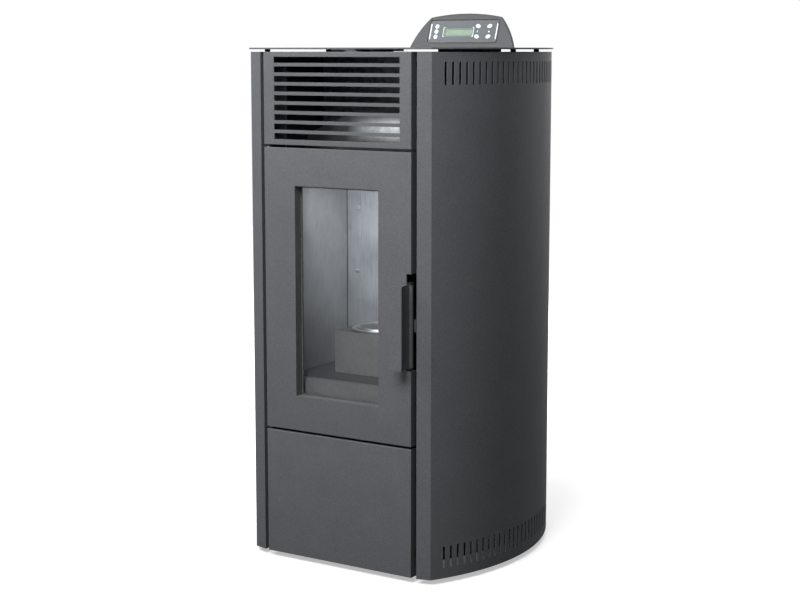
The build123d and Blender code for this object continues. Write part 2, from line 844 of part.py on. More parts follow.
with BuildPart() as back_liner:
    with BuildSketch(Plane.XZ.offset(-firebox_back)):
        with Locations((0, (hearth_top + seat_gap + liner_top) / 2)):
            Rectangle(2 * (firebox_half_width - seat_gap), liner_top - hearth_top - seat_gap)
        with Locations((0, chute_z)):
            Rectangle(
                chute_width + 2 * seat_gap, chute_height + 2 * seat_gap, mode=Mode.SUBTRACT
            )
        with Locations((exhaust_x, port_z)):
            Circle(exhaust_diameter / 2, mode=Mode.SUBTRACT)
        with Locations((intake_x, port_z)):
            Circle(intake_diameter / 2 - intake_wall, mode=Mode.SUBTRACT)
        with Locations((0, igniter_z)):
            Circle(igniter_radius + shaft_gap, mode=Mode.SUBTRACT)
        with Locations((0, liner_screw_z)):
            with GridLocations(2 * liner_screw_x, liner_screw_pitch, 2, 2):
                Circle(screw_radius + shaft_gap, mode=Mode.SUBTRACT)
    extrude(amount=-liner_thickness)

# Hearth plate over the ash drawer, with the opening that the ash falls through
ash_width = 100.0
ash_length = 80.0
hearth_side_gap = 0.4
with BuildPart() as hearth_floor:
    with BuildSketch(Plane.XY.offset(hearth_top - hearth_plate)):
        with Locations((0, (firebox_face + back_inner - seat_gap) / 2)):
            Rectangle(2 * (wall_inner - hearth_side_gap), back_inner - seat_gap - firebox_face)
        with Locations((0, pot_y)):
            Rectangle(ash_width, ash_length, mode=Mode.SUBTRACT)
    extrude(amount=hearth_plate)

# Ash drawer under the hearth plate; its front covers the plate's edge
drawer_half_width = firebox_half_width - 2.0
drawer_back = firebox_back - 2.0
with BuildPart() as ash_drawer:
    box_between(
        (-drawer_half_width, drawer_front, drawer_bottom),
        (drawer_half_width, drawer_back, drawer_top - hearth_side_gap),
    )
    offset(amount=-drawer_sheet, openings=ash_drawer.faces().sort_by(Axis.Z)[-1])
    box_between(
        (-drawer_half_width, drawer_front, drawer_bottom),
        (drawer_half_width, drawer_front + drawer_sheet, hearth_top),
    )

# Rails turned in from the firebox walls carry the hearth plate beside the drawer
with BuildPart() as hearth_rails:
    for side in (-1, 1):
        inner = side * (drawer_half_width + seat_gap)
        outer = side * (wall_inner - seat_gap)
        box_between(
            (min(inner, outer), firebox_face, firebox_bottom + firebox_sheet + seat_gap),
            (max(inner, outer), back_inner - seat_gap, hearth_top - hearth_plate - seat_gap),
        )

# ---------------------------------------------------------------------------------------------
# Burn pot and what feeds it
# ---------------------------------------------------------------------------------------------

support_bottom = hearth_top + seat_gap
pot_body_radius = pot_radius - pot_flange
with BuildPart() as pot_support:
    box_between(
        (-support_half_width, support_y, support_bottom),
        (support_half_width, support_y + support_depth, support_top),
    )
    offset(amount=-support_sheet, openings=pot_support.faces().sort_by(Axis.Z)[0])
    with BuildSketch(Plane.XY.offset(support_top + 1)):
        with Locations((0, pot_y)):
            Circle(pot_body_radius + seat_gap)
    extrude(amount=-2 * support_sheet, mode=Mode.SUBTRACT)
    with BuildSketch(Plane.XZ.offset(-(support_y + support_depth + 1))):
        with Locations((0, igniter_z)):
            Circle(igniter_radius + shaft_gap)
    extrude(amount=2 * support_sheet, mode=Mode.SUBTRACT)

# The pot: a turned cup with a rim, a raised collar behind, and holes for the air
pot_air_radius = 2.6
pot_air_ring = 26.0
pot_air_count = 10
collar_sweep = 50.0
with BuildPart() as burn_pot:
    rest_z = support_top + seat_gap
    with BuildSketch(Plane.XZ.offset(-pot_y)):
        with BuildLine():
            Polyline(
                (0, rest_z - pot_depth),
                (pot_body_radius - 1, rest_z - pot_depth),
                (pot_body_radius, rest_z),
                (pot_radius, rest_z),
                (pot_radius, rest_z + pot_flange_edge),
                (pot_body_radius + 4, rest_z + pot_flange_edge),
                (pot_body_radius + 2, rest_z + pot_rim_height),
                (pot_body_radius - pot_wall + 2, rest_z + pot_rim_height),
                (pot_body_radius - pot_wall, rest_z + pot_rim_height - 4),
                (pot_body_radius - pot_wall - 3, rest_z - pot_depth + pot_wall),
                (0, rest_z - pot_depth + pot_wall),
                close=True,
            )
        make_face()
    revolve(axis=Axis((0, pot_y, 0), (0, 0, 1)))
    with BuildSketch(Plane.XY.offset(rest_z + pot_rim_height - 2)):
        with BuildLine():
            start = 90 - collar_sweep / 2
            outer_arc = CenterArc((0, pot_y), pot_body_radius + 2, start, collar_sweep)
            inner_arc = CenterArc((0, pot_y), pot_body_radius + 2 - pot_wall, start, collar_sweep)
            Line(outer_arc @ 0, inner_arc @ 0)
            Line(outer_arc @ 1, inner_arc @ 1)
        make_face()
    extrude(amount=pot_collar_height)
    with BuildSketch(Plane.XY.offset(rest_z - pot_depth - 1)):
        with Locations((0, pot_y)):
            with PolarLocations(pot_air_ring, pot_air_count):
                Circle(pot_air_radius)
            Circle(pot_air_radius)
    extrude(amount=pot_wall * 2, mode=Mode.SUBTRACT)

# Hopper's mouth collar, box and funnel
throat_y = 118.0
hopper_left = -205.0
hopper_front = back_outer + 12.0
hopper_x = hopper_left + hopper_width / 2
hopper_y = hopper_front + hopper_length / 2
hopper_top = cover_bottom - seat_gap
collar_top = plate_bottom - seat_gap - lid_seal_thickness
inner_box = (hopper_width - 2 * hopper_sheet, hopper_length - 2 * hopper_sheet)
with BuildPart() as hopper:
    with BuildSketch(Plane.XY.offset(hopper_funnel_top)):
        with Locations((hopper_x, hopper_y)):
            Rectangle(hopper_width, hopper_length)
    extrude(amount=hopper_top - hopper_funnel_top)
    with BuildSketch(Plane.XY.offset(hopper_funnel_top)):
        with Locations((hopper_x, hopper_y)):
            Rectangle(hopper_width, hopper_length)
    with BuildSketch(Plane.XY.offset(throat_height)):
        with Locations((0, throat_y)):
            Rectangle(hopper_throat, hopper_throat)
    loft()
    with BuildSketch(Plane.XY.offset(hopper_funnel_top)):
        with Locations((hopper_x, hopper_y)):
            Rectangle(*inner_box)
    with BuildSketch(Plane.XY.offset(throat_height)):
        with Locations((0, throat_y)):
            Rectangle(hopper_throat - 2 * hopper_sheet, hopper_throat - 2 * hopper_sheet)
    loft(mode=Mode.SUBTRACT)
    with BuildSketch(Plane.XY.offset(hopper_funnel_top)):
        with Locations((hopper_x, hopper_y)):
            Rectangle(*inner_box)
    extrude(amount=hopper_top - hopper_sheet - hopper_funnel_top, mode=Mode.SUBTRACT)
    with BuildSketch(Plane.XY.offset(hopper_top - 2 * hopper_sheet)):
        with Locations((mouth_x, mouth_y)):
            Rectangle(mouth_width - 2 * hopper_sheet, mouth_depth - 2 * hopper_sheet)
    extrude(amount=3 * hopper_sheet, mode=Mode.SUBTRACT)

with BuildPart() as mouth_collar:
    with BuildSketch(Plane.XY.offset(hopper_top + shaft_gap)):
        with Locations((mouth_x, mouth_y)):
            Rectangle(mouth_width, mouth_depth)
            Rectangle(
                mouth_width - 2 * hopper_sheet,
                mouth_depth - 2 * hopper_sheet,
                mode=Mode.SUBTRACT,
            )
    extrude(amount=collar_top - hopper_top - shaft_gap)

# Auger: a tube that climbs from the hopper's throat to the chute above the pot
auger_radius = 24.0
auger_wall = 2.0
auger_length = 176.0
auger_cap = 3.0
auger_shaft_radius = 5.0
auger_flange_radius = 34.0
auger_flange = 3.0
flight_radius = auger_radius - auger_wall - 2.0
flight_pitch = 26.0
flight_thickness = 2.5
flight_start = 8.0
flight_turns = 5.5
auger_low_y = 158.0
auger_low_rise = 28.7        # above the hearth plate
auger_low = Vector(0, auger_low_y, hearth_top + auger_low_rise)
auger_rise = Vector(0, -sin(pi / 4), cos(pi / 4))
auger_plane = Plane(origin=auger_low, x_dir=(1, 0, 0), z_dir=auger_rise)
outlet_width = 34.0


def chute_points(inset, reach):
    """Corners of the chute's slanted side view in the YZ plane, drawn in by its wall."""
    low = chute_low_z + inset
    high = chute_low_z + chute_opening - inset
    back = chute_front + reach
    return (chute_front, low), (back, low + reach), (back, high + reach), (chute_front, high)


chute_reach = 40.0
chute_wall = 1.5
with BuildPart() as feed_chute:
    with BuildSketch(Plane.YZ):
        Polygon(*chute_points(0, chute_reach), align=None)
    extrude(amount=chute_width / 2, both=True)
    with BuildSketch(Plane.YZ):
        Polygon(*chute_points(chute_wall, chute_reach * 2), align=None)
    extrude(amount=chute_width / 2 - chute_wall, both=True, mode=Mode.SUBTRACT)
    with BuildSketch(auger_plane):
        Circle(auger_radius + seat_gap)
    extrude(amount=auger_length + seat_gap, mode=Mode.SUBTRACT)

inlet_foot_z = auger_low.Z + auger_low.Y - throat_y
with BuildPart() as auger_tube:
    with BuildSketch(auger_plane):
        Circle(auger_radius)
    extrude(amount=auger_length)
    with BuildSketch(auger_plane):
        Circle(auger_flange_radius)
    extrude(amount=auger_flange)
    with BuildSketch(Plane.XY.offset(inlet_foot_z)):
        with Locations((0, throat_y)):
            Rectangle(hopper_throat, hopper_throat)
    extrude(amount=throat_height - seat_gap - inlet_foot_z)
    with BuildSketch(Plane.XY.offset(inlet_foot_z)):
        with Locations((0, throat_y)):
            Rectangle(hopper_throat - 2 * hopper_sheet, hopper_throat - 2 * hopper_sheet)
    extrude(amount=throat_height - inlet_foot_z, mode=Mode.SUBTRACT)
    with BuildSketch(auger_plane):
        Circle(auger_radius - auger_wall)
    extrude(amount=auger_length - auger_cap, mode=Mode.SUBTRACT)
    with BuildSketch(Plane.YZ):
        Polygon(*chute_points(chute_wall, chute_reach + auger_radius / 2), align=None)
    extrude(amount=outlet_width / 2, both=True, mode=Mode.SUBTRACT)

# The screw: a round shaft with one helical flight
shaft_tail = 16.0
shaft_end_gap = 1.0
with BuildPart() as screw_upright:
    with BuildSketch(Plane.XY.offset(-shaft_tail - flight_start)):
        Circle(auger_shaft_radius)
    extrude(amount=shaft_tail + auger_length - auger_cap - shaft_end_gap)
    with BuildLine():
        flight_path = Helix(flight_pitch, flight_pitch * flight_turns, auger_shaft_radius)
    with BuildSketch(Plane.XZ):
        with Locations(((auger_shaft_radius + flight_radius - 1) / 2, 0)):
            Rectangle(flight_radius - auger_shaft_radius + 1, flight_thickness)
    sweep(path=flight_path, is_frenet=True)

with BuildPart() as auger_screw:
    with Locations(auger_plane.offset(flight_start)):
        add(screw_upright.part)

gearbox_size = 66.0
gearbox_depth = 24.0
gear_motor_radius = 25.0
gear_motor_length = 38.0
with BuildPart() as auger_motor:
    with BuildSketch(auger_plane.offset(-seat_gap)):
        RectangleRounded(gearbox_size, gearbox_size, 6)
    extrude(amount=-gearbox_depth)
    with BuildSketch(auger_plane.offset(-seat_gap - gearbox_depth)):
        Circle(gear_motor_radius)
    extrude(amount=-gear_motor_length)
    with BuildSketch(auger_plane):
        Circle(auger_shaft_radius + shaft_gap)
    extrude(amount=-gearbox_depth + 4, mode=Mode.SUBTRACT)

# Igniter: a rod through the rear of the firebox to the pot, in a collar outside
igniter_tip = pot_y + pot_body_radius + 1.0
with BuildPart() as igniter:
    with BuildSketch(Plane.XZ.offset(-igniter_tip)):
        with Locations((0, igniter_z)):
            Circle(igniter_radius)
    extrude(amount=-(back_outer + 30.0 - igniter_tip))
    with BuildSketch(Plane.XZ.offset(-(back_outer + seat_gap))):
        with Locations((0, igniter_z)):
            Circle(igniter_radius + 5.0)
    extrude(amount=-14.0)

# ---------------------------------------------------------------------------------------------
# Smoke extractor, its duct, the flue outlet and the air intake
# ---------------------------------------------------------------------------------------------

fan_radius = 92.0
fan_width = 54.0
fan_wall = 2.0
fan_y = 95.0
fan_z = flue_z - fan_radius + flue_diameter / 2
fan_outlet_y = 186.0
fan_eye_radius = 32.0
wheel_radius = 62.0
wheel_width = 34.0
wheel_blades = 10
wheel_hub = 14.0
wheel_shaft = 4.0
fan_motor_radius = 36.0
fan_motor_length = 48.0
fan_foot_width = 110.0

with BuildPart() as smoke_fan_housing:
    with BuildSketch(Plane.YZ):
        with Locations((fan_y, fan_z)):
            Circle(fan_radius)
        with Locations(((fan_y + fan_outlet_y) / 2, flue_z)):
            Rectangle(fan_outlet_y - fan_y, flue_diameter)
    extrude(amount=fan_width / 2, both=True)
    with BuildSketch(Plane.YZ):
        with Locations((fan_y, fan_z)):
            Circle(fan_radius - fan_wall)
        with Locations(((fan_y + fan_outlet_y) / 2 + fan_wall, flue_z)):
            Rectangle(fan_outlet_y - fan_y + 2 * fan_wall, flue_diameter - 2 * fan_wall)
    extrude(amount=fan_width / 2 - fan_wall, both=True, mode=Mode.SUBTRACT)
    with BuildSketch(Plane.YZ.offset(-fan_width / 2 - 1)):
        with Locations((fan_y, fan_z)):
            Circle(fan_eye_radius)
    extrude(amount=fan_wall + 2, mode=Mode.SUBTRACT)
    with BuildSketch(Plane.YZ.offset(fan_width / 2 + 1)):
        with Locations((fan_y, fan_z)):
            Circle(wheel_shaft + 2.0)
    extrude(amount=-fan_wall - 2, mode=Mode.SUBTRACT)

# Feet that stand the extractor on the floor pan
fan_bottom = fan_z - fan_radius
with BuildPart() as fan_stand:
    box_between(
        (-fan_width / 2, fan_y - fan_foot_width / 2, pan_top + seat_gap),
        (fan_width / 2, fan_y + fan_foot_width / 2, fan_bottom + 24.0),
    )
    with BuildSketch(Plane.YZ):
        with Locations((fan_y, fan_z)):
            Circle(fan_radius + seat_gap)
    extrude(amount=fan_width, both=True, mode=Mode.SUBTRACT)
    box_between(
        (-fan_width / 2 + 2.0, fan_y - fan_foot_width / 2 - 1, pan_top),
        (fan_width / 2 - 2.0, fan_y + fan_foot_width / 2 + 1, fan_bottom + 25.0),
        mode=Mode.SUBTRACT,
    )

with BuildPart() as smoke_wheel:
    with BuildSketch(Plane.YZ.offset(wheel_width / 2)):
        with Locations((fan_y, fan_z)):
            Circle(wheel_radius)
    extrude(amount=-2.0)
    with BuildSketch(Plane.YZ.offset(-wheel_width / 2)):
        with Locations((fan_y, fan_z)):
            Circle(wheel_hub)
    extrude(amount=wheel_width)
    with BuildSketch(Plane.YZ.offset(-wheel_width / 2)):
        with Locations((fan_y, fan_z)):
            with PolarLocations((wheel_radius + wheel_hub) / 2 - 1, wheel_blades):
                Rectangle(wheel_radius - wheel_hub + 1, 2.0)
    extrude(amount=wheel_width)
    with BuildSketch(Plane.YZ.offset(wheel_width / 2)):
        with Locations((fan_y, fan_z)):
            Circle(wheel_shaft)
    extrude(amount=(fan_width - wheel_width) / 2 + fan_motor_length / 2)

with BuildPart() as smoke_motor:
    with BuildSketch(Plane.YZ.offset(fan_width / 2 + seat_gap)):
        with Locations((fan_y, fan_z)):
            Circle(fan_motor_radius)
            Circle(wheel_shaft + shaft_gap, mode=Mode.SUBTRACT)
    extrude(amount=fan_motor_length * 0.7)
    with BuildSketch(Plane.YZ.offset(fan_width / 2 + seat_gap + fan_motor_length * 0.7)):
        with Locations((fan_y, fan_z)):
            Circle(fan_motor_radius * 0.8)
    extrude(amount=fan_motor_length * 0.3, taper=8)

duct_wall = 2.0
duct_left = exhaust_x - exhaust_diameter / 2 - 6.0
duct_right = -fan_width / 2 - seat_gap
duct_front = back_outer + seat_gap
duct_bend_y = duct_front + 58.0
duct_bottom = fan_z - fan_eye_radius - 4.0
duct_shelf = fan_z + fan_eye_radius + 4.0
duct_back = fan_y + fan_eye_radius + 4.0
duct_top = port_z + exhaust_diameter / 2 + 4.0
with BuildPart() as smoke_duct:
    with BuildSketch(Plane.YZ.offset(duct_left)):
        Polygon(
            (duct_front, duct_bottom),
            (duct_back, duct_bottom),
            (duct_back, duct_shelf),
            (duct_bend_y, duct_shelf),
            (duct_bend_y, duct_top),
            (duct_front, duct_top),
            align=None,
        )
    extrude(amount=duct_right - duct_left)
    offset(amount=-duct_wall, mode=Mode.SUBTRACT)
    with BuildSketch(Plane.XZ.offset(-duct_front + 1)):
        with Locations((exhaust_x, port_z)):
            Circle(exhaust_diameter / 2)
    extrude(amount=-duct_wall - 2, mode=Mode.SUBTRACT)
    with BuildSketch(Plane.YZ.offset(duct_right + 1)):
        with Locations((fan_y, fan_z)):
            Circle(fan_eye_radius)
    extrude(amount=-duct_wall - 2, mode=Mode.SUBTRACT)

# Flue outlet: from the extractor's square mouth to a round spigot behind the stove
flue_wall = 2.0
flue_reach = 37.0          # behind the rear sheet
flue_start = fan_outlet_y + seat_gap
flue_round_y = flue_start + 36.0
with BuildPart() as flue_outlet:
    for inset, mode in ((0, Mode.ADD), (flue_wall, Mode.SUBTRACT)):
        with BuildSketch(Plane.XZ.offset(-flue_start)):
            with Locations((flue_x, flue_z)):
                RectangleRounded(fan_width - 2 * inset, flue_diameter - 2 * inset, 6)
        with BuildSketch(Plane.XZ.offset(-flue_round_y)):
            with Locations((flue_x, flue_z)):
                Circle(flue_diameter / 2 - inset)
        loft(mode=mode)
        with BuildSketch(Plane.XZ.offset(-flue_round_y)):
            with Locations((flue_x, flue_z)):
                Circle(flue_diameter / 2 - inset)
        extrude(amount=-(rear_y + flue_reach - flue_round_y), mode=mode)

# Air intake: a pipe from the rear sheet up to the firebox
intake_reach = 34.0        # behind the rear sheet
intake_bend = 45.0
intake_rise_y = 80.0
with BuildPart() as air_intake:
    with BuildLine() as intake_path:
        FilletPolyline(
            (intake_x, rear_y + intake_reach, intake_z),
            (intake_x, intake_rise_y, intake_z),
            (intake_x, intake_rise_y, port_z),
            (intake_x, back_outer + seat_gap, port_z),
            radius=intake_bend,
        )
    with BuildSketch(Plane.XZ.offset(-(rear_y + intake_reach))):
        with Locations((intake_x, intake_z)):
            Circle(intake_diameter / 2)
            Circle(intake_diameter / 2 - intake_wall, mode=Mode.SUBTRACT)
    sweep(path=intake_path.wires()[0])

# ---------------------------------------------------------------------------------------------
# Room-air blower under the firebox, and the sheet that turns its air to the grille
# ---------------------------------------------------------------------------------------------

blower_y = -120.0
blower_z = 110.0
blower_radius = 40.0
blower_length = 210.0
blower_blades = 14
blower_blade_depth = 12.0
blower_sheet = 2.0
blower_shaft = 4.0
blower_end_size = 104.0
blower_throat_top = 250.0
blower_end_x = blower_length / 2 + running_gap
blower_case_radius = blower_radius + running_gap
with BuildPart() as room_fan_rotor:
    with BuildSketch(Plane.YZ.offset(-blower_length / 2)):
        with Locations((blower_y, blower_z)):
            with PolarLocations(blower_radius - blower_blade_depth / 2, blower_blades):
                Rectangle(blower_blade_depth, 1.5, rotation=25)
    extrude(amount=blower_length)
    for end in (-blower_length / 2, 0, blower_length / 2 - 2.0):
        with BuildSketch(Plane.YZ.offset(end)):
            with Locations((blower_y, blower_z)):
                Circle(blower_radius)
        extrude(amount=2.0)
    with BuildSketch(Plane.YZ.offset(-blower_length / 2 - 28.0)):
        with Locations((blower_y, blower_z)):
            Circle(blower_shaft)
    extrude(amount=blower_length + 34.0)

# Case: a rolled sheet round the rotor's rear and two end plates that stand on the floor pan
with BuildPart() as room_fan_case:
    with BuildSketch(Plane.YZ.offset(-blower_length / 2 - running_gap)):
        with Locations((blower_y, blower_z)):
            Circle(blower_case_radius + blower_sheet)
        with Locations((blower_y - blower_case_radius / 2, blower_throat_top / 2 + blower_z / 2)):
            Rectangle(blower_case_radius + 2 * blower_sheet, blower_throat_top - blower_z)
        with Locations((blower_y, blower_z)):
            Circle(blower_case_radius, mode=Mode.SUBTRACT)
        with Locations((blower_y - blower_case_radius / 2, blower_throat_top / 2 + blower_z / 2)):
            Rectangle(blower_case_radius, blower_throat_top - blower_z + 1, mode=Mode.SUBTRACT)
        with Locations((blower_y + blower_case_radius, blower_z + blower_case_radius / 2)):
            Rectangle(
                2 * blower_case_radius - 8.0, blower_case_radius, mode=Mode.SUBTRACT
            )
    extrude(amount=2 * blower_end_x)
    for side in (-1, 1):
        inner = side * blower_end_x
        outer = side * (blower_end_x + blower_sheet)
        box_between(
            (min(inner, outer), blower_y - blower_end_size / 2, pan_top + seat_gap),
            (max(inner, outer), blower_y + blower_end_size / 2, blower_throat_top),
        )
    with BuildSketch(Plane.YZ.offset(-blower_end_x - blower_sheet - 1)):
        with Locations((blower_y, blower_z)):
            Circle(blower_shaft + shaft_gap)
    extrude(amount=2 * (blower_end_x + blower_sheet + 1), mode=Mode.SUBTRACT)

blower_motor_radius = 28.0
with BuildPart() as room_fan_motor:
    with BuildSketch(Plane.YZ.offset(-blower_end_x - blower_sheet - seat_gap)):
        with Locations((blower_y, blower_z)):
            Circle(blower_motor_radius)
            Circle(blower_shaft + shaft_gap, mode=Mode.SUBTRACT)
    extrude(amount=-30.0)

# Galvanised sheet behind the grille: it stands on the firebox and leans back
baffle_sheet = 1.0
baffle_lean = 22.0
baffle_y = -196.0
baffle_left = -120.0
baffle_right = 140.0
baffle_bend = -30.0
baffle_low = 66.0
baffle_high = 112.0
baffle_foot = 14.0
baffle_base_z = firebox_top + firebox_sheet + seat_gap
baffle_plane = Plane(
    origin=(0, baffle_y, baffle_base_z + baffle_sheet * sin(radians(baffle_lean))),
    x_dir=(1, 0, 0),
    z_dir=(0, -cos(radians(baffle_lean)), sin(radians(baffle_lean))),
)
with BuildPart() as air_baffle:
    with BuildSketch(baffle_plane):
        Polygon(
            (baffle_left, 0),
            (baffle_right, 0),
            (baffle_right, baffle_high),
            (baffle_bend, baffle_high),
            (baffle_left, baffle_low),
            align=None,
        )
    extrude(amount=-baffle_sheet)
    box_between(
        (baffle_left, baffle_y, baffle_base_z),
        (baffle_right, baffle_y + baffle_foot, baffle_base_z + baffle_sheet),
    )

# ---------------------------------------------------------------------------------------------
# Controls inside and at the rear
# ---------------------------------------------------------------------------------------------

board_x = 196.0
board_length = 150.0
board_height = 190.0
board_bottom = 120.0
board_thickness = 1.6
board_standoff = 10.0
standoff_radius = 4.0
bracket_sheet = 2.0
bracket_foot = 30.0
bracket_height = 330.0
board_face = board_x - bracket_sheet - board_standoff
board_z = board_bottom + board_height / 2
with BuildPart() as board_bracket:
    box_between(
        (board_x - bracket_sheet, -board_length / 2 - 10, pan_top + seat_gap),
        (board_x, board_length / 2 + 10, pan_top + bracket_height),
    )
    box_between(
        (board_x, -board_length / 2 - 10, pan_top + seat_gap),
        (board_x + bracket_foot, board_length / 2 + 10, pan_top + seat_gap + bracket_sheet),
    )
    with BuildSketch(Plane.YZ.offset(board_x - bracket_sheet)):
        with Locations((0, board_z)):
            with GridLocations(board_length - 16, board_height - 16, 2, 2):
                Circle(standoff_radius)
    extrude(amount=-(board_standoff - seat_gap))

# Circuit board with its transformer, relays and heat sink
with BuildPart() as control_board:
    box_between(
        (board_face - board_thickness, -board_length / 2, board_bottom),
        (board_face, board_length / 2, board_bottom + board_height),
    )
    part_face = board_face - board_thickness
    for y, z, width, height, depth in (
        (-40.0, board_z + 50.0, 42.0, 36.0, 30.0),
        (15.0, board_z + 62.0, 16.0, 20.0, 15.0),
        (38.0, board_z + 62.0, 16.0, 20.0, 15.0),
        (20.0, board_z - 10.0, 36.0, 36.0, 4.0),
        (-45.0, board_z - 40.0, 14.0, 60.0, 22.0),
        (0.0, board_z - 84.0, 110.0, 12.0, 12.0),
    ):
        box_between(
            (part_face - depth, y - width / 2, z - height / 2),
            (part_face, y + width / 2, z + height / 2),
        )

switch_radius = 30.0
with BuildPart() as pressure_switch:
    with BuildSketch(Plane.YZ.offset(board_x + seat_gap)):
        with Locations((0, board_z + 60.0)):
            Circle(switch_radius)
    extrude(amount=16.0)
    with BuildSketch(Plane.YZ.offset(board_x + seat_gap + 16.0)):
        with Locations((-12, board_z + 60.0), (12, board_z + 60.0)):
            Circle(3.0)
    extrude(amount=14.0)

# Mains inlet with its fuse drawer and rocker opening, and the rocker itself
inlet_flange = 3.0
inlet_depth = 30.0
inlet_margin = 4.0
socket_width = 21.0
socket_height = 14.0
socket_depth = 18.0
rocker_width = 16.0
rocker_height = 20.0
rocker_pin = 1.5
rocker_z = inlet_z - 9.0
socket_z = inlet_z + 13.0
with BuildPart() as mains_inlet:
    with BuildSketch(Plane.XZ.offset(-rear_y)):
        with Locations((inlet_x, inlet_z)):
            RectangleRounded(inlet_width + 2 * inlet_margin, inlet_height + 2 * inlet_margin, 3)
    extrude(amount=-inlet_flange)
    with BuildSketch(Plane.XZ.offset(-rear_y)):
        with Locations((inlet_x, inlet_z)):
            Rectangle(inlet_width, inlet_height)
    extrude(amount=inlet_depth)
    with BuildSketch(Plane.XZ.offset(-(rear_y + inlet_flange))):
        with Locations((inlet_x, socket_z)):
            RectangleRounded(socket_width, socket_height, 3)
        with Locations((inlet_x, rocker_z)):
            Rectangle(rocker_width + 1.0, rocker_height + 1.0)
    extrude(amount=socket_depth, mode=Mode.SUBTRACT)
    with BuildSketch(Plane.XZ.offset(-(rear_y + inlet_flange - socket_depth))):
        with Locations(
            (inlet_x - 7, socket_z - 2), (inlet_x, socket_z + 2), (inlet_x + 7, socket_z - 2)
        ):
            Rectangle(2.0, 4.0)
    extrude(amount=-socket_depth + 4)
    with BuildSketch(Plane.YZ.offset(inlet_x - rocker_width / 2 - 3.0)):
        with Locations((rear_y - 4.0, rocker_z)):
            Circle(rocker_pin + shaft_gap)
    extrude(amount=rocker_width + 6.0, mode=Mode.SUBTRACT)

rocker_y = rear_y - 4.0
rocker_front = rear_y + inlet_flange + 1.0
with BuildPart() as power_rocker:
    with BuildSketch(Plane.YZ.offset(inlet_x - rocker_width / 2)):
        with BuildLine():
            top_corner = (rocker_front + 1.5, rocker_z + rocker_height / 2 - 1.0)
            low_corner = (rocker_front + 1.5, rocker_z - rocker_height / 2 + 1.0)
            dish = ThreePointArc(top_corner, (rocker_front - 0.5, rocker_z), low_corner)
            Polyline(
                dish @ 1,
                (rocker_y + 1.0, rocker_z - rocker_height / 2 + 2.0),
                (rocker_y - 3.0, rocker_z),
                (rocker_y + 1.0, rocker_z + rocker_height / 2 - 2.0),
                dish @ 0,
            )
        make_face()
    extrude(amount=rocker_width)
    with BuildSketch(Plane.YZ.offset(inlet_x - rocker_width / 2 - 2.0)):
        with Locations((rocker_y, rocker_z)):
            Circle(rocker_pin)
    extrude(amount=rocker_width + 4.0)

# Manual-reset thermostat: a threaded body through the rear sheet under a domed cap
with BuildPart() as safety_thermostat:
    with BuildSketch(Plane.XY):
        with BuildLine():
            Polyline(
                (0, -26.0),
                (14.0, -26.0),
                (14.0, -casing_sheet - seat_gap),
                (reset_thread / 2, -casing_sheet - seat_gap),
                (reset_thread / 2, seat_gap),
                (reset_thread / 2 + 3.0, seat_gap),
                (reset_thread / 2 + 3.0, 8.0),
                (reset_thread / 2 + 1.0, 11.0),
                (0, 12.0),
                close=True,
            )
        make_face()
    revolve(axis=Axis.Y)
thermostat = safety_thermostat.part
with BuildPart() as safety_thermostat:
    with Locations((reset_x, rear_y, reset_z)):
        add(thermostat)

# ---------------------------------------------------------------------------------------------
# Top: cover, spacers, plate, pellet lid
# ---------------------------------------------------------------------------------------------

collar_gap = 0.4
cable_radius = 8.0
cover_front = front_y + pilaster_return + seat_gap
shield_x = 215.0
shield_reach = 200.0
shield_drop = 178.0
with BuildPart() as top_cover:
    with BuildSketch(Plane.XY.offset(cover_bottom)):
        with BuildLine():
            barrel_outline(casing_sheet + seat_gap)
        make_face()
        with Locations((0, front_y)):
            Rectangle(
                front_opening + 2 * casing_sheet + 2 * seat_gap,
                2 * (cover_front - front_y),
                mode=Mode.SUBTRACT,
            )
        with Locations((0, rear_y)):
            Rectangle(rear_notch_width, 2 * (rear_y - rear_notch_y), mode=Mode.SUBTRACT)
        with Locations((mouth_x, mouth_y)):
            Rectangle(mouth_width + 2 * collar_gap, mouth_depth + 2 * collar_gap, mode=Mode.SUBTRACT)
        with Locations((console_x, console_front + console_depth / 2)):
            Circle(cable_radius, mode=Mode.SUBTRACT)
    extrude(amount=cover_sheet)
    # Heat shields folded down inside the two sides
    for side in (-1, 1):
        near = side * shield_x
        far = side * (shield_x + cover_sheet)
        box_between(
            (min(near, far), -shield_reach, cover_bottom - shield_drop),
            (max(near, far), shield_reach, casing_top),
        )

spacer_points = (
    (-220.0, -168.0),
    (220.0, -168.0),
    (-220.0, 50.0),
    (220.0, 50.0),
    (-220.0, 152.0),
    (220.0, 152.0),
)
with BuildPart() as top_spacers:
    with BuildSketch(Plane.XY.offset(casing_top)):
        with Locations(*spacer_points):
            Circle(spacer_radius)
    extrude(amount=top_gap)

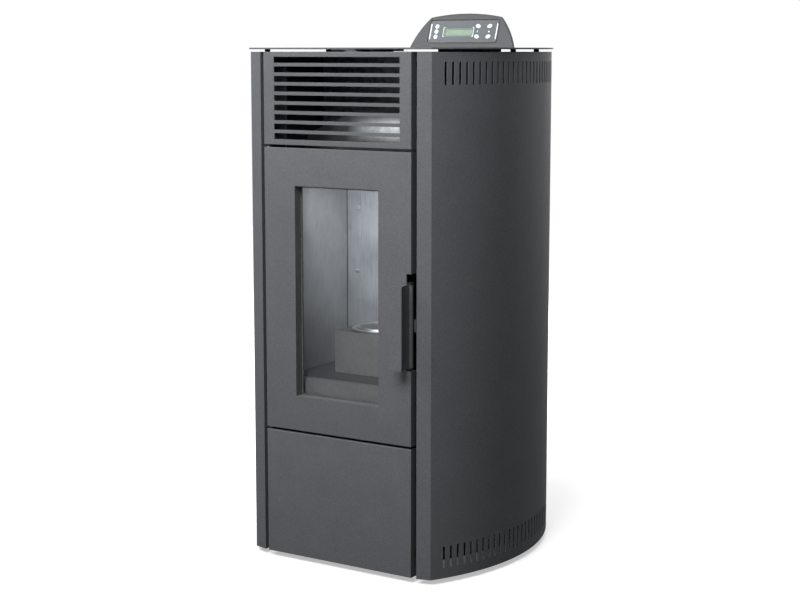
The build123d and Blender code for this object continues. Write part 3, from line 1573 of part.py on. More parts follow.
# The lid turns on a rolled barrel along its rear edge, between two ears in the plate
lid_width = mouth_width + 2 * lid_lap
lid_front = mouth_front - lid_lap
lid_axis_y = mouth_back + lid_lap
lid_axis_z = plate_top - lid_barrel_radius
ear_width = 8.0
ear_depth = 10.0
ear_z = lid_axis_z - lid_barrel_radius
finger_radius = 14.0
with BuildPart() as top_plate:
    with BuildSketch(Plane.XY.offset(plate_bottom)):
        with BuildLine():
            barrel_outline(-top_overhang)
        make_face()
        with Locations((mouth_x, (lid_front + lid_axis_y + lid_barrel_radius) / 2)):
            Rectangle(
                lid_width + 2 * lid_gap,
                lid_axis_y + lid_barrel_radius - lid_front + 2 * lid_gap,
                mode=Mode.SUBTRACT,
            )
        with Locations((mouth_x, lid_axis_y)):
            Rectangle(lid_width + 2 * lid_gap + 2 * ear_width, ear_depth, mode=Mode.SUBTRACT)
        with Locations((mouth_x, lid_front - lid_gap)):
            Circle(finger_radius, mode=Mode.SUBTRACT)
        with Locations((console_x, console_front + console_depth / 2)):
            Circle(cable_radius, mode=Mode.SUBTRACT)
    extrude(amount=top_thickness)
    plate_corners = top_plate.edges().filter_by(Axis.Z).group_by(Axis.Y)
    fillet(plate_corners[0] + plate_corners[-1], 4.0)

with BuildPart() as lid_ears:
    for side in (-1, 1):
        inner = side * (lid_width / 2 + lid_gap)
        outer = side * (lid_width / 2 + lid_gap + ear_width)
        box_between(
            (mouth_x + min(inner, outer), lid_axis_y - ear_depth / 2 + shaft_gap, ear_z),
            (mouth_x + max(inner, outer), lid_axis_y + ear_depth / 2 - shaft_gap, plate_top),
        )
    with BuildSketch(Plane.YZ.offset(mouth_x - lid_width)):
        with Locations((lid_axis_y, lid_axis_z)):
            Circle(lid_pin_radius + shaft_gap)
    extrude(amount=2 * lid_width, mode=Mode.SUBTRACT)

with BuildPart() as pellet_lid:
    with BuildSketch(Plane.YZ.offset(mouth_x - lid_width / 2)):
        with Locations(((lid_front + lid_axis_y) / 2, plate_top - top_thickness / 2)):
            Rectangle(lid_axis_y - lid_front, top_thickness)
        with Locations((lid_axis_y, lid_axis_z)):
            Circle(lid_barrel_radius)
    extrude(amount=lid_width)
    with BuildSketch(Plane.XY.offset(plate_bottom)):
        with Locations((mouth_x, lid_front - lid_gap)):
            Circle(finger_radius)
    extrude(amount=top_thickness, mode=Mode.SUBTRACT)
    with BuildSketch(Plane.YZ.offset(mouth_x - lid_width / 2 - lid_gap - ear_width + 1.0)):
        with Locations((lid_axis_y, lid_axis_z)):
            Circle(lid_pin_radius)
    extrude(amount=lid_width + 2 * (lid_gap + ear_width - 1.0))

seal_width = 6.0
with BuildPart() as lid_seal:
    with BuildSketch(Plane.XY.offset(collar_top + shaft_gap)):
        with Locations((mouth_x, mouth_y)):
            Rectangle(mouth_width, mouth_depth)
            Rectangle(
                mouth_width - 2 * seal_width, mouth_depth - 2 * seal_width, mode=Mode.SUBTRACT
            )
    extrude(amount=plate_bottom - seat_gap - collar_top - shaft_gap)

# ---------------------------------------------------------------------------------------------
# Control panel
# ---------------------------------------------------------------------------------------------

lean = radians(console_lean)
face_plane = Plane(
    origin=(console_x, console_front, plate_top),
    x_dir=(1, 0, 0),
    z_dir=(0, -cos(lean), sin(lean)),
)
recess_v = recess_foot + recess_height / 2
face_skirt = 30.0

with BuildSketch() as console_face:
    with BuildLine():
        right_flank = ThreePointArc(
            (console_half_base, 0),
            (console_half_middle, console_middle_height),
            (console_half_top, console_corner_height),
        )
        crown = ThreePointArc(
            right_flank @ 1,
            (0, console_apex_height),
            (-console_half_top, console_corner_height),
        )
        left_flank = ThreePointArc(
            crown @ 1,
            (-console_half_middle, console_middle_height),
            (-console_half_base, 0),
        )
        Polyline(
            left_flank @ 1,
            (-console_half_base, -face_skirt),
            (console_half_base, -face_skirt),
            right_flank @ 0,
        )
    make_face()

key_points = {
    "key_display": (small_key_shift, key_rise),
    "key_mode": (small_key_shift, 0.0),
    "key_set": (small_key_shift, -key_rise),
    "key_heat_up": (leaf_key_near, key_rise),
    "key_heat_down": (leaf_key_near, -key_rise),
    "key_fan_up": (leaf_key_far, key_rise),
    "key_fan_down": (leaf_key_far, -key_rise),
}


def key_outline(name, grow=0.0):
    """Draws one key's cap, grown by a gap, in the sketch that is being built."""
    u, v = key_points[name]
    with Locations((u, v)):
        if u == small_key_shift:
            Circle(small_key_radius + grow)
        else:
            turn = -leaf_key_turn if u == leaf_key_near else leaf_key_turn
            Ellipse(leaf_key_width / 2 + grow, leaf_key_height / 2 + grow, rotation=turn)


# Moulded housing, hollow and open underneath, with the recess for the membrane
with BuildPart() as console_housing:
    with BuildSketch(face_plane):
        add(console_face.sketch)
    with BuildSketch(face_plane.offset(-console_depth)):
        add(scale(console_face.sketch, by=console_back_share))
    loft(ruled=True)
    fillet(console_housing.faces().sort_by(Axis.Y)[0].edges(), console_edge_radius)
    with BuildSketch(face_plane.offset(-console_wall)):
        add(console_face.sketch)
        offset(amount=-console_wall)
    with BuildSketch(face_plane.offset(console_wall - console_depth)):
        add(scale(console_face.sketch, by=console_back_share))
        offset(amount=-console_wall)
    loft(ruled=True, mode=Mode.SUBTRACT)
    split(bisect_by=Plane.XY.offset(plate_top), keep=Keep.TOP)
    with BuildSketch(face_plane):
        with Locations((0, recess_v)):
            RectangleRounded(recess_width, recess_height, recess_radius)
    extrude(amount=-recess_depth, mode=Mode.SUBTRACT)
    with BuildSketch(face_plane):
        for u, v in key_points.values():
            with Locations((u, v + recess_v)):
                Circle(key_stem_radius + key_gap)
    extrude(amount=-2 * console_wall, mode=Mode.SUBTRACT)

# Membrane over the recess, with a window for the display and holes for the keys
membrane_margin = 1.5
membrane_plane = Plane(
    origin=face_plane.from_local_coords(Vector(0, recess_v, 0)),
    x_dir=face_plane.x_dir,
    z_dir=face_plane.z_dir,
)
with BuildPart() as console_membrane:
    with BuildSketch(membrane_plane.offset(-recess_depth + shaft_gap)):
        RectangleRounded(
            recess_width - 2 * membrane_margin,
            recess_height - 2 * membrane_margin,
            recess_radius - membrane_margin,
        )
        with Locations((lcd_shift, -lcd_drop)):
            Rectangle(lcd_width + 2 * shaft_gap, lcd_height + 2 * shaft_gap, mode=Mode.SUBTRACT)
    extrude(amount=membrane_thickness)
    with BuildSketch(membrane_plane.offset(-recess_depth)):
        for name in key_points:
            key_outline(name, key_gap)
    extrude(amount=2 * recess_depth, mode=Mode.SUBTRACT)

with BuildPart() as display_window:
    with BuildSketch(membrane_plane.offset(-recess_depth + shaft_gap)):
        with Locations((lcd_shift, -lcd_drop)):
            Rectangle(lcd_width, lcd_height)
    extrude(amount=membrane_thickness - 0.3)

# Keys: each cap stands a little proud of the membrane on a stem through the housing
stem_reach = console_wall + 2.0
console_keys = {}
for name, (u, v) in key_points.items():
    with BuildPart() as key:
        with BuildSketch(membrane_plane.offset(-recess_depth + membrane_thickness + key_proud)):
            key_outline(name)
        extrude(amount=-(membrane_thickness + key_proud - key_travel - 2 * shaft_gap))
        with BuildSketch(membrane_plane.offset(-recess_depth + key_travel + 4 * shaft_gap)):
            with Locations((u, v)):
                Circle(key_stem_radius)
        extrude(amount=-(stem_reach - recess_depth + key_travel))
    console_keys[name] = key

# Display board behind the face, on four pegs
board_gap = key_travel + 1.0
peg_radius = 3.0
display_board_width = 148.0
display_board_height = 36.0
display_board_front = -stem_reach - board_gap
with BuildPart() as display_board:
    with BuildSketch(membrane_plane.offset(display_board_front)):
        Rectangle(display_board_width, display_board_height)
    extrude(amount=-1.6)
    with BuildSketch(membrane_plane.offset(display_board_front)):
        with GridLocations(display_board_width - 8, display_board_height - 8, 2, 2):
            Circle(peg_radius)
    extrude(amount=-display_board_front - console_wall - seat_gap)

# Soft pad that closes the gap under the control panel round its cable
pad_width = 118.0
pad_shift = 4.0
pad_depth = 50.0
with BuildPart() as console_pad:
    with BuildSketch(Plane.XY.offset(casing_top)):
        with Locations((console_x, console_front + console_depth / 2)):
            with Locations((pad_shift, 0)):
                Rectangle(pad_width, pad_depth)
            Circle(cable_radius, mode=Mode.SUBTRACT)
    extrude(amount=top_gap)

# Screws: the rear sheet's and the four in the rear liner
with BuildPart() as screw_upright:
    with BuildSketch(Plane.XY):
        Circle(screw_head_radius)
    extrude(amount=screw_head_height, taper=25)
    with BuildSketch(Plane.XY):
        Circle(screw_radius)
    extrude(amount=-screw_length)

with BuildPart() as liner_screw_upright:
    with BuildSketch(Plane.XY):
        Circle(screw_head_radius)
    extrude(amount=screw_head_height, taper=25)
    with BuildSketch(Plane.XY):
        Circle(screw_radius)
    extrude(amount=-liner_thickness)

rear_screws_plane = Plane(
    origin=(0, rear_y + shaft_gap, (casing_bottom + casing_top) / 2),
    x_dir=(-1, 0, 0),
    z_dir=(0, 1, 0),
)
liner_screws_plane = Plane(
    origin=(0, firebox_back - shaft_gap, liner_screw_z), x_dir=(1, 0, 0), z_dir=(0, -1, 0)
)
with BuildPart() as screws:
    with Locations(rear_screws_plane):
        with GridLocations(2 * rear_screw_x, rear_screw_pitch, 2, rear_screw_rows):
            add(screw_upright.part)
    with Locations(liner_screws_plane):
        with GridLocations(2 * liner_screw_x, liner_screw_pitch, 2, 2):
            add(liner_screw_upright.part)

# ---------------------------------------------------------------------------------------------
# Nodes: pieces that are never apart from each other share one, as separate solids
# ---------------------------------------------------------------------------------------------

nodes = {
    "base_pan": [base_pan],
    "levelling_feet": [levelling_feet, foot_nuts],
    "left_side_panel": [left_side_panel],
    "right_side_panel": [right_side_panel],
    "rear_panel": [rear_panel],
    "front_posts": [left_front_post, right_front_post, panel_clips],
    "grille_panel": [grille_panel],
    "lower_panel": [lower_panel],
    "door_skin": [door_skin],
    "door_glass": [door_glass],
    "door_frame": [door_frame],
    "door_gaskets": [glass_tape, door_rope],
    "door_brackets": [pivot_brackets, latch_keeper],
    "pivot_pins": [pivot_pins],
    "handle_lever": [handle_lever],
    "handle_bracket": [handle_bracket],
    "handle_pin": [handle_pin],
    "firebox_shell": [firebox_shell],
    "side_liners": [left_liner, right_liner],
    "back_liner": [back_liner],
    "hearth_floor": [hearth_floor, hearth_rails],
    "ash_drawer": [ash_drawer],
    "pot_support": [pot_support],
    "burn_pot": [burn_pot],
    "hopper": [hopper, mouth_collar],
    "auger_tube": [auger_tube, feed_chute],
    "auger_screw": [auger_screw],
    "auger_motor": [auger_motor],
    "igniter": [igniter],
    "smoke_fan_housing": [smoke_fan_housing, fan_stand],
    "smoke_wheel": [smoke_wheel],
    "fan_motors": [smoke_motor, room_fan_motor],
    "smoke_duct": [smoke_duct],
    "flue_outlet": [flue_outlet],
    "air_intake": [air_intake],
    "room_fan_rotor": [room_fan_rotor],
    "room_fan_case": [room_fan_case],
    "air_baffle": [air_baffle],
    "board_bracket": [board_bracket],
    "control_board": [control_board, display_board],
    "pressure_switch": [pressure_switch],
    "mains_inlet": [mains_inlet],
    "power_rocker": [power_rocker],
    "safety_thermostat": [safety_thermostat],
    "top_cover": [top_cover],
    "top_spacers": [top_spacers, console_pad],
    "top_plate": [top_plate, lid_ears],
    "pellet_lid": [pellet_lid],
    "lid_seal": [lid_seal],
    "console_housing": [console_housing],
    "console_membrane": [console_membrane],
    "display_window": [display_window],
    "screws": [screws],
}
for name, key in console_keys.items():
    nodes[name] = [key]

for label, pieces in nodes.items():
    with BuildPart() as node:
        for piece in pieces:
            add(piece.part)
    node.part.label = label
    export_step(node.part, f"parts/{label}.step")
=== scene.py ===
# %% [markdown]
# # A pellet stove, dressed for the camera
# The construction model already holds every sheet, wheel and screw of the stove in its right
# place. This file adds what the eye needs: a camera, light, finishes made from nodes, and the
# small pieces that a construction model leaves plain. The model is loaded first, because every
# later step places its piece by it, in metres, with the floor at zero and the front towards -Y.

from math import cos, pi, radians, sin

import bmesh
import bpy
from mathutils import Matrix, Vector


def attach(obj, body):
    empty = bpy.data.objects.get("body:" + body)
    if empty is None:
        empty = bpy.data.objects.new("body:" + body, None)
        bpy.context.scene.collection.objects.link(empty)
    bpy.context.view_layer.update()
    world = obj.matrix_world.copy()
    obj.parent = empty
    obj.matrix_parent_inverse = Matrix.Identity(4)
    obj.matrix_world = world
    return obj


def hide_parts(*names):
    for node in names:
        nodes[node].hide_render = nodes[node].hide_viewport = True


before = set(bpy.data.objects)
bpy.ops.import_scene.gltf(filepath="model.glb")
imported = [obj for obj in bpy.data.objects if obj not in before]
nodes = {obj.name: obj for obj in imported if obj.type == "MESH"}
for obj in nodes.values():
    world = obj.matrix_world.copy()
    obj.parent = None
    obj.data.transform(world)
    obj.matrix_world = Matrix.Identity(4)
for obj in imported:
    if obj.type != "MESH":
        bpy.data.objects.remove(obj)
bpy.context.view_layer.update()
MM = 0.001

# %% [markdown]
# ## Colours and nodes
# Paint charts and photographs give colours as sRGB hex values, while the renderer adds up light
# in linear values, so one function does that change for the whole file. Materials here are small
# trees of nodes. One helper adds any node, sets its fields and fills its sockets, which keeps
# each finish readable as a short list of steps.

# %% Helpers for colours and materials
def linear(code):
    """A colour like "6b6e72" as linear red, green, blue and full opacity."""
    channels = [int(code[i : i + 2], 16) / 255 for i in (0, 2, 4)]
    return (*[c / 12.92 if c <= 0.04045 else ((c + 0.055) / 1.055) ** 2.4 for c in channels], 1)


def add(tree, kind, sockets=None, **fields):
    """Adds one shader node. A socket takes a number, a colour or the output of another node."""
    node = tree.nodes.new("ShaderNode" + kind)
    for name, value in fields.items():
        setattr(node, name, value)
    for name, value in (sockets or {}).items():
        if isinstance(value, bpy.types.NodeSocket):
            tree.links.new(value, node.inputs[name])
        else:
            node.inputs[name].default_value = value
    return node


def new_finish(name, **plain):
    """A material with one Principled shader; plain holds its constant sockets."""
    material = bpy.data.materials.new(name)
    material.use_nodes = True
    tree = material.node_tree
    shader = tree.nodes["Principled BSDF"]
    for socket, value in plain.items():
        shader.inputs[socket.replace("_", " ")].default_value = value
    place = add(tree, "TexCoord").outputs["Object"]
    return material, tree, shader, place


def ramp(tree, value, *stops):
    """A colour ramp over value, with stops of (place, hex colour)."""
    node = add(tree, "ValToRGB", {"Fac": value})
    marks = node.color_ramp.elements
    while len(marks) < len(stops):
        marks.new(0.5)
    for mark, (place, code) in zip(marks, stops):
        mark.position = place
        mark.color = linear(code)
    return node.outputs["Color"]


def relief(tree, shader, height, depth, strength=1.0, edge=0.0):
    """Bump from height, depth metres deep, over edges that look rounded by a small radius."""
    sockets = {"Height": height, "Distance": depth, "Strength": strength}
    if edge:
        sockets["Normal"] = add(tree, "Bevel", {"Radius": edge}, samples=4).outputs["Normal"]
    bump = add(tree, "Bump", sockets).outputs["Normal"]
    tree.links.new(bump, shader.inputs["Normal"])


def noise(tree, place, size, detail=2.0, roughness=0.5):
    """Noise whose blotches are about size metres across."""
    sockets = {"Vector": place, "Scale": 1 / size, "Detail": detail, "Roughness": roughness}
    return add(tree, "TexNoise", sockets).outputs["Fac"]


def stretched(tree, place, *factors):
    """The same place with its axes squeezed, so that a pattern on it becomes long and thin."""
    return add(tree, "Mapping", {"Vector": place, "Scale": factors}).outputs["Vector"]


finishes = {}

# %% [markdown]
# ## Anthracite powder coat
# The bowed sides, front panels, lever and top are steel sheet under a baked polyester powder with
# a fine texture and a little aluminium flake. The texture breaks highlights into a soft sheen, and
# the flake gives a faint glitter. A real grain of this coat is about 0.4 mm across. At the size of
# the picture one pixel is 2 mm, so the grain is drawn 1.6 mm wide, as coarse as it needs to show.

# %% Powder coat
def powder_coat(name, dark, light):
    material, tree, shader, place = new_finish(name, Metallic=0.1, Specular_IOR_Level=0.15)
    grain = noise(tree, place, 1.6 * MM, 3.0, 0.6)
    cloud = noise(tree, place, 60 * MM, 2.0)
    level = add(tree, "Mix", {"Factor": 0.12, "A": grain, "B": cloud}).outputs["Result"]
    tree.links.new(ramp(tree, level, (0.3, dark), (0.7, light)), shader.inputs["Base Color"])
    gloss = add(tree, "MapRange", {"Value": grain, "To Min": 0.6, "To Max": 0.76})
    tree.links.new(gloss.outputs["Result"], shader.inputs["Roughness"])
    relief(tree, shader, grain, 0.12 * MM, 0.6, 0.7 * MM)
    finishes[name] = material
    return material


coat = powder_coat("powder coat anthracite", "5c5e61", "77797d")
print("made", coat.name)

# %% [markdown]
# ## Black heat-proof paint
# The door's inner frame, the posts beside it, the motors and the frame under the top are sprayed
# with a thin black silicone paint that stands heat. It dries dull, a little uneven and almost
# without colour, so it needs a rough surface and only a slight cloudiness. Rubber, moulded nylon,
# moulded ABS and screen ink differ from it only in colour, gloss and grain, so one function makes
# them all from the size of the grain and the depth that it has.

# %% Black paint, rubber and plastics
def dull(name, dark, light, rough, grain_size, depth, edge=0.5 * MM):
    material, tree, shader, place = new_finish(name)
    grain = noise(tree, place, grain_size, 3.0)
    tree.links.new(ramp(tree, grain, (0.3, dark), (0.7, light)), shader.inputs["Base Color"])
    gloss = add(tree, "MapRange", {"Value": grain, "To Min": rough - 0.06, "To Max": rough + 0.06})
    tree.links.new(gloss.outputs["Result"], shader.inputs["Roughness"])
    relief(tree, shader, grain, depth, 0.5, edge)
    finishes[name] = material
    return material


black_paint = dull("silicone paint black", "1b1b1d", "29292b", 0.55, 3 * MM, 0.05 * MM)
rubber = dull("rubber black", "141414", "1f1f1f", 0.75, 1.2 * MM, 0.08 * MM)
black_plastic = dull("nylon black moulded", "17181a", "222325", 0.38, 0.8 * MM, 0.03 * MM)
console_plastic = dull("ABS grey moulded", "3a3c3f", "484a4d", 0.5, 1.1 * MM, 0.08 * MM, 1.0 * MM)
white_print = dull("ink white screen-printed", "e4e7ea", "f2f4f6", 0.45, 2 * MM, 0.01 * MM, 0.0)
print("made", len(finishes), "finishes so far")

# %% [markdown]
# ## Sheet steels
# Galvanised sheet shows spangle: flat zinc crystals 5 to 15 mm wide that each catch the light a
# little differently, which a Voronoi pattern draws well. The liner behind the fire is brushed
# along the height, so its scratches are noise stretched many times along Z. Steel that has been
# hot is duller and greyer, and on it what lies flat is drawn darker as painted shade. Of the
# sheet behind the grille the photograph shows one light patch in the dark, and it can't tell
# soot from shadow. That sheet is drawn in painted shade with one lit patch, and the numbers in
# metres that place its edges were fitted to that patch. Soot is a stand-in here, and the
# numbers in metres that place its edges were fitted to that patch.

# %% Galvanised, brushed and heat-dulled steel
def galvanised_sheet(name="galvanised steel spangled"):
    material, tree, shader, place = new_finish(name, Metallic=0.85)
    crystal = add(tree, "TexVoronoi", {"Vector": place, "Scale": 1 / (9 * MM)}).outputs["Color"]
    tone = add(tree, "SeparateColor", {"Color": crystal}).outputs["Red"]
    colour = ramp(tree, tone, (0.0, "9da2a6"), (1.0, "bfc4c8"))
    tree.links.new(colour, shader.inputs["Base Color"])
    gloss = add(tree, "MapRange", {"Value": tone, "To Min": 0.34, "To Max": 0.48})
    tree.links.new(gloss.outputs["Result"], shader.inputs["Roughness"])
    relief(tree, shader, tone, 0.03 * MM, 0.4, 0.4 * MM)
    finishes[name] = material
    return material


def brushed_steel(
    name, dark, light, squeeze, metallic=0.9, rough=0.36, streak=1.5 * MM, depth=0.04 * MM
):
    """Scratches run along the axis whose squeeze is small."""
    material, tree, shader, place = new_finish(name, Metallic=metallic)
    line = noise(tree, stretched(tree, place, *squeeze), streak, 4.0, 0.65)
    cloud = noise(tree, place, 70 * MM, 3.0)
    both = add(tree, "Math", {0: line, 1: cloud}, operation="ADD").outputs[0]
    level = add(tree, "Math", {0: both, 1: 0.5}, operation="MULTIPLY").outputs[0]
    tree.links.new(ramp(tree, level, (0.36, dark), (0.62, light)), shader.inputs["Base Color"])
    gloss = add(tree, "MapRange", {"Value": line, "To Min": rough - 0.08, "To Max": rough + 0.1})
    tree.links.new(gloss.outputs["Result"], shader.inputs["Roughness"])
    relief(tree, shader, line, depth, 0.4, 0.4 * MM)
    finishes[name] = material
    return material


def painted_shade_on_top(material, top_shade):
    """Painted shade darkens what lies flat and leaves upright sheets unshaded."""
    tree = material.node_tree
    shader = tree.nodes["Principled BSDF"]
    unshaded = shader.inputs["Base Color"].links[0].from_socket
    normal = add(tree, "NewGeometry").outputs["Normal"]
    up = add(tree, "SeparateXYZ", {"Vector": normal}).outputs["Z"]
    flat = add(tree, "MapRange", {"Value": up, "From Min": 0.6, "From Max": 0.9}).outputs["Result"]
    mixed = add(tree, "Mix", data_type="RGBA")
    tree.links.new(flat, mixed.inputs[0])
    tree.links.new(unshaded, mixed.inputs[6])
    mixed.inputs[7].default_value = linear(top_shade)
    tree.links.new(mixed.outputs[2], shader.inputs["Base Color"])


def painted_shade_sheet(material, along, lit_from, lit_to, shade_tint):
    """A sheet that lies in the stove's dark: painted shade covers it and fades out towards one end
    of an axis.
    """
    tree = material.node_tree
    shader = tree.nodes["Principled BSDF"]
    unshaded = shader.inputs["Base Color"].links[0].from_socket
    place = add(tree, "TexCoord").outputs["Object"]
    value = add(tree, "SeparateXYZ", {"Vector": place}).outputs[along]
    span = {"Value": value, "From Min": lit_from, "From Max": lit_to}
    mixed = add(tree, "Mix", data_type="RGBA")
    tree.links.new(add(tree, "MapRange", span).outputs["Result"], mixed.inputs[0])
    mixed.inputs[6].default_value = linear(shade_tint)
    tree.links.new(unshaded, mixed.inputs[7])
    tree.links.new(mixed.outputs[2], shader.inputs["Base Color"])


galvanised = galvanised_sheet()
back_steel = brushed_steel("stainless steel brushed", "9da2a8", "c6cbd1", (1, 1, 0.02), 0.45)
side_steel = brushed_steel(
    "steel lining smooth", "9fa1a3", "b1b3b5", (1, 1, 0.3), 0.3, 0.42, 6 * MM
)
fire_steel = brushed_steel("steel heat-dulled", "9a9c9e", "abadaf", (1, 1, 0.5), 0.3, 0.5, 5 * MM)
# painted shade: faces of the hearth, drawer and pot support that point up are drawn darker
painted_shade_on_top(fire_steel, "58595c")
pot_steel = brushed_steel(
    "steel turned", "a5a9ad", "c0c3c5", (0.3, 0.3, 2.5), 0.85, 0.36, 1.2 * MM, 0.002 * MM
)
shaded_sheet = galvanised_sheet("galvanised steel with painted shade")
# painted shade over the sheet behind the grille, fading out at its one lit patch
painted_shade_sheet(shaded_sheet, "X", -0.03, 0.08, "2c2d2f")
painted_shade_sheet(shaded_sheet, "Z", 0.889, 0.872, "2c2d2f")
painted_shade_sheet(shaded_sheet, "Z", 0.832, 0.861, "252220")
zinc = brushed_steel("steel zinc-plated", "a7abb0", "c6cacd", (1, 1, 1), 1.0, 0.3, 2 * MM)
aluminium = brushed_steel("aluminium cast", "8b8f93", "a4a8ab", (1, 1, 1), 0.9, 0.5, 1.5 * MM)
print("made", len(finishes), "finishes so far")

# %% [markdown]
# ## Glass, rope, film, display and board
# The door holds clear glass ceramic, 4 mm thick, that one looks straight through. The seals are
# knitted glass fibre. The control panel wears a satin printed film over its keys, with the
# greenish window of a liquid-crystal display. Clear glass is drawn as a thin, nearly transparent
# surface whose opacity grows towards a grazing view, because light then also reaches the fire
# chamber behind it.

# %% Glass ceramic and the other finishes
def door_glass():
    name = "glass ceramic clear"
    material, tree, shader, _ = new_finish(name, Roughness=0.04, Base_Color=linear("3a3d40"))
    facing = add(tree, "LayerWeight", {"Blend": 0.35}).outputs["Fresnel"]
    cover = add(tree, "MapRange", {"Value": facing, "To Min": 0.05, "To Max": 0.5})
    tree.links.new(cover.outputs["Result"], shader.inputs["Alpha"])
    finishes[name] = material
    return material


def fibre_rope():
    name = "glass fibre knitted"
    material, tree, shader, place = new_finish(name, Roughness=0.9)
    turned = add(tree, "Mapping", {"Vector": place, "Rotation": (0.6, 0.7, 0.5)}).outputs["Vector"]
    # the wave repeats every pi / 10 of its scaled length, so the yarn's ribs come 0.6 mm apart
    ribs = {"Vector": turned, "Scale": 1 / (2 * pi * 0.3 * MM), "Distortion": 1.5}
    rib = add(tree, "TexWave", ribs)
    fuzz = noise(tree, place, 2 * MM, 4.0)
    height = add(tree, "Math", {0: rib.outputs["Fac"], 1: fuzz}, operation="ADD").outputs[0]
    colour = ramp(tree, fuzz, (0.3, "525252"), (0.7, "72716f"))
    tree.links.new(colour, shader.inputs["Base Color"])
    relief(tree, shader, height, 0.4 * MM, 0.8)
    finishes[name] = material
    return material


glass = door_glass()
rope = fibre_rope()
film = dull("polyester film satin", "494b4e", "55575b", 0.38, 3 * MM, 0.01 * MM, 0.2 * MM)
lcd_green = dull("liquid crystal window", "7a907a", "869b85", 0.4, 8 * MM, 0.0, 0.0)
key_white = dull("polycarbonate white", "e3e6ea", "f4f6f8", 0.35, 2 * MM, 0.02 * MM, 0.4 * MM)
board = dull("glass epoxy green", "1c5a34", "277043", 0.35, 12 * MM, 0.02 * MM, 0.2 * MM)
enamel = dull("enamel black stove-pipe", "1d1d1f", "2b2b2d", 0.42, 2 * MM, 0.05 * MM)
print("made", len(finishes), "finishes")

# %% [markdown]
# ## Finishes on the construction nodes
# A node whose shape is right stays as it is and only gets its finish. Curved sheets come in as
# narrow facets, so each node is shaded smooth wherever its faces meet at a small angle.

# %% Give every node its finish
finish_of = {
    coat: "left_side_panel right_side_panel grille_panel lower_panel door_skin handle_lever "
    "top_plate pellet_lid",
    black_paint: "front_posts door_frame handle_bracket door_brackets firebox_shell top_cover "
    "rear_panel auger_motor fan_motors",
    shaded_sheet: "air_baffle",
    galvanised: "base_pan hopper auger_tube board_bracket room_fan_case air_intake "
    "smoke_duct",
    back_steel: "back_liner",
    side_steel: "side_liners",
    fire_steel: "hearth_floor ash_drawer pot_support",
    pot_steel: "burn_pot",
    zinc: "levelling_feet pivot_pins handle_pin auger_screw igniter screws room_fan_rotor",
    aluminium: "smoke_fan_housing smoke_wheel",
    enamel: "flue_outlet",
    glass: "door_glass",
    rope: "door_gaskets lid_seal",
    rubber: "top_spacers",
    black_plastic: "pressure_switch mains_inlet power_rocker safety_thermostat",
    board: "control_board",
    console_plastic: "console_housing",
    film: "console_membrane",
    lcd_green: "display_window",
    key_white: "key_display key_mode key_set key_heat_up key_heat_down key_fan_up key_fan_down",
}
SHARP = radians(32)


def smoothed(thing):
    """Shades a piece smooth, except where its faces meet at a real edge."""
    for face in thing.data.polygons:
        face.use_smooth = True
    thing.modifiers.new("joined", "WELD").merge_threshold = 0.01 * MM
    thing.modifiers.new("edges", "EDGE_SPLIT").split_angle = SHARP


for material, names in finish_of.items():
    for name in names.split():
        mesh = nodes[name].data
        mesh.materials.clear()
        mesh.materials.append(material)
        smoothed(nodes[name])
finished = sum(len(names.split()) for names in finish_of.values())
print("finished", finished, "of", len(nodes), "nodes")

# %% [markdown]
# ## Screws
# The rear sheet and the lining are held by pan-head screws with a cross recess. The construction
# model has plain domes there. A turned body, from a list of radii and heights, gives the head and
# shank, and a cross that is cut out of it by a boolean gives the recess. The places come from the
# construction model's own screws, which lie far apart, so their corners sort into groups easily.

# %% A turned body and a boolean cut
def lathe(profile, sides=32):
    """A mesh turned about Z from pairs of radius and height in mm, closed at both ends."""
    shape = bmesh.new()
    turns = [2 * pi * i / sides for i in range(sides)]
    rings = []
    for radius, height in profile:
        r, z = radius * MM, height * MM
        rings.append([shape.verts.new((r * cos(t), r * sin(t), z)) for t in turns])
    for low_ring, high_ring in zip(rings, rings[1:]):
        for i in range(sides):
            j = (i + 1) % sides
            shape.faces.new((low_ring[i], low_ring[j], high_ring[j], high_ring[i]))
    shape.faces.new(rings[0][::-1])
    shape.faces.new(rings[-1])
    return as_mesh("turned", shape)


def as_mesh(name, shape):
    mesh = bpy.data.meshes.new(name)
    bmesh.ops.recalc_face_normals(shape, faces=shape.faces)
    shape.to_mesh(mesh)
    shape.free()
    return mesh


def box_mesh(size, middle):
    """A box of a size about its middle, both in mm."""
    shape = bmesh.new()
    bmesh.ops.create_cube(shape, size=1)
    stretch = Matrix.Diagonal([v * MM for v in size] + [1])
    shape.transform(Matrix.Translation([v * MM for v in middle]) @ stretch)
    return as_mesh("box", shape)


def cut_out(body, *tools):
    """The body's mesh with the tools' meshes cut away."""
    things = [bpy.data.objects.new("cut", mesh) for mesh in (body, *tools)]
    for thing in things:
        bpy.context.scene.collection.objects.link(thing)
    for thing in things[1:]:
        cut = things[0].modifiers.new("cut", "BOOLEAN")
        cut.object, cut.solver = thing, "EXACT"
    bpy.context.view_layer.update()
    graph = bpy.context.evaluated_depsgraph_get()
    result = bpy.data.meshes.new_from_object(things[0].evaluated_get(graph))
    for thing in things:
        bpy.data.objects.remove(thing)
    return result


# an M4 pan head is 8 mm wide and 2.2 mm high, and its cross is about 4.6 mm wide
head = [(2, -8), (2, 0), (4, 0), (4, 0.7), (3.7, 1.3), (3.0, 1.8), (1.9, 2.1), (0.8, 2.2)]
HEAD_HEIGHT = head[-1][1] * MM
cross = [box_mesh((4.6, 0.9, 3), (0, 0, 2.7)), box_mesh((0.9, 4.6, 3), (0, 0, 2.7))]
screw_mesh = cut_out(lathe(head), *cross)
print("a screw has", len(screw_mesh.polygons), "faces")

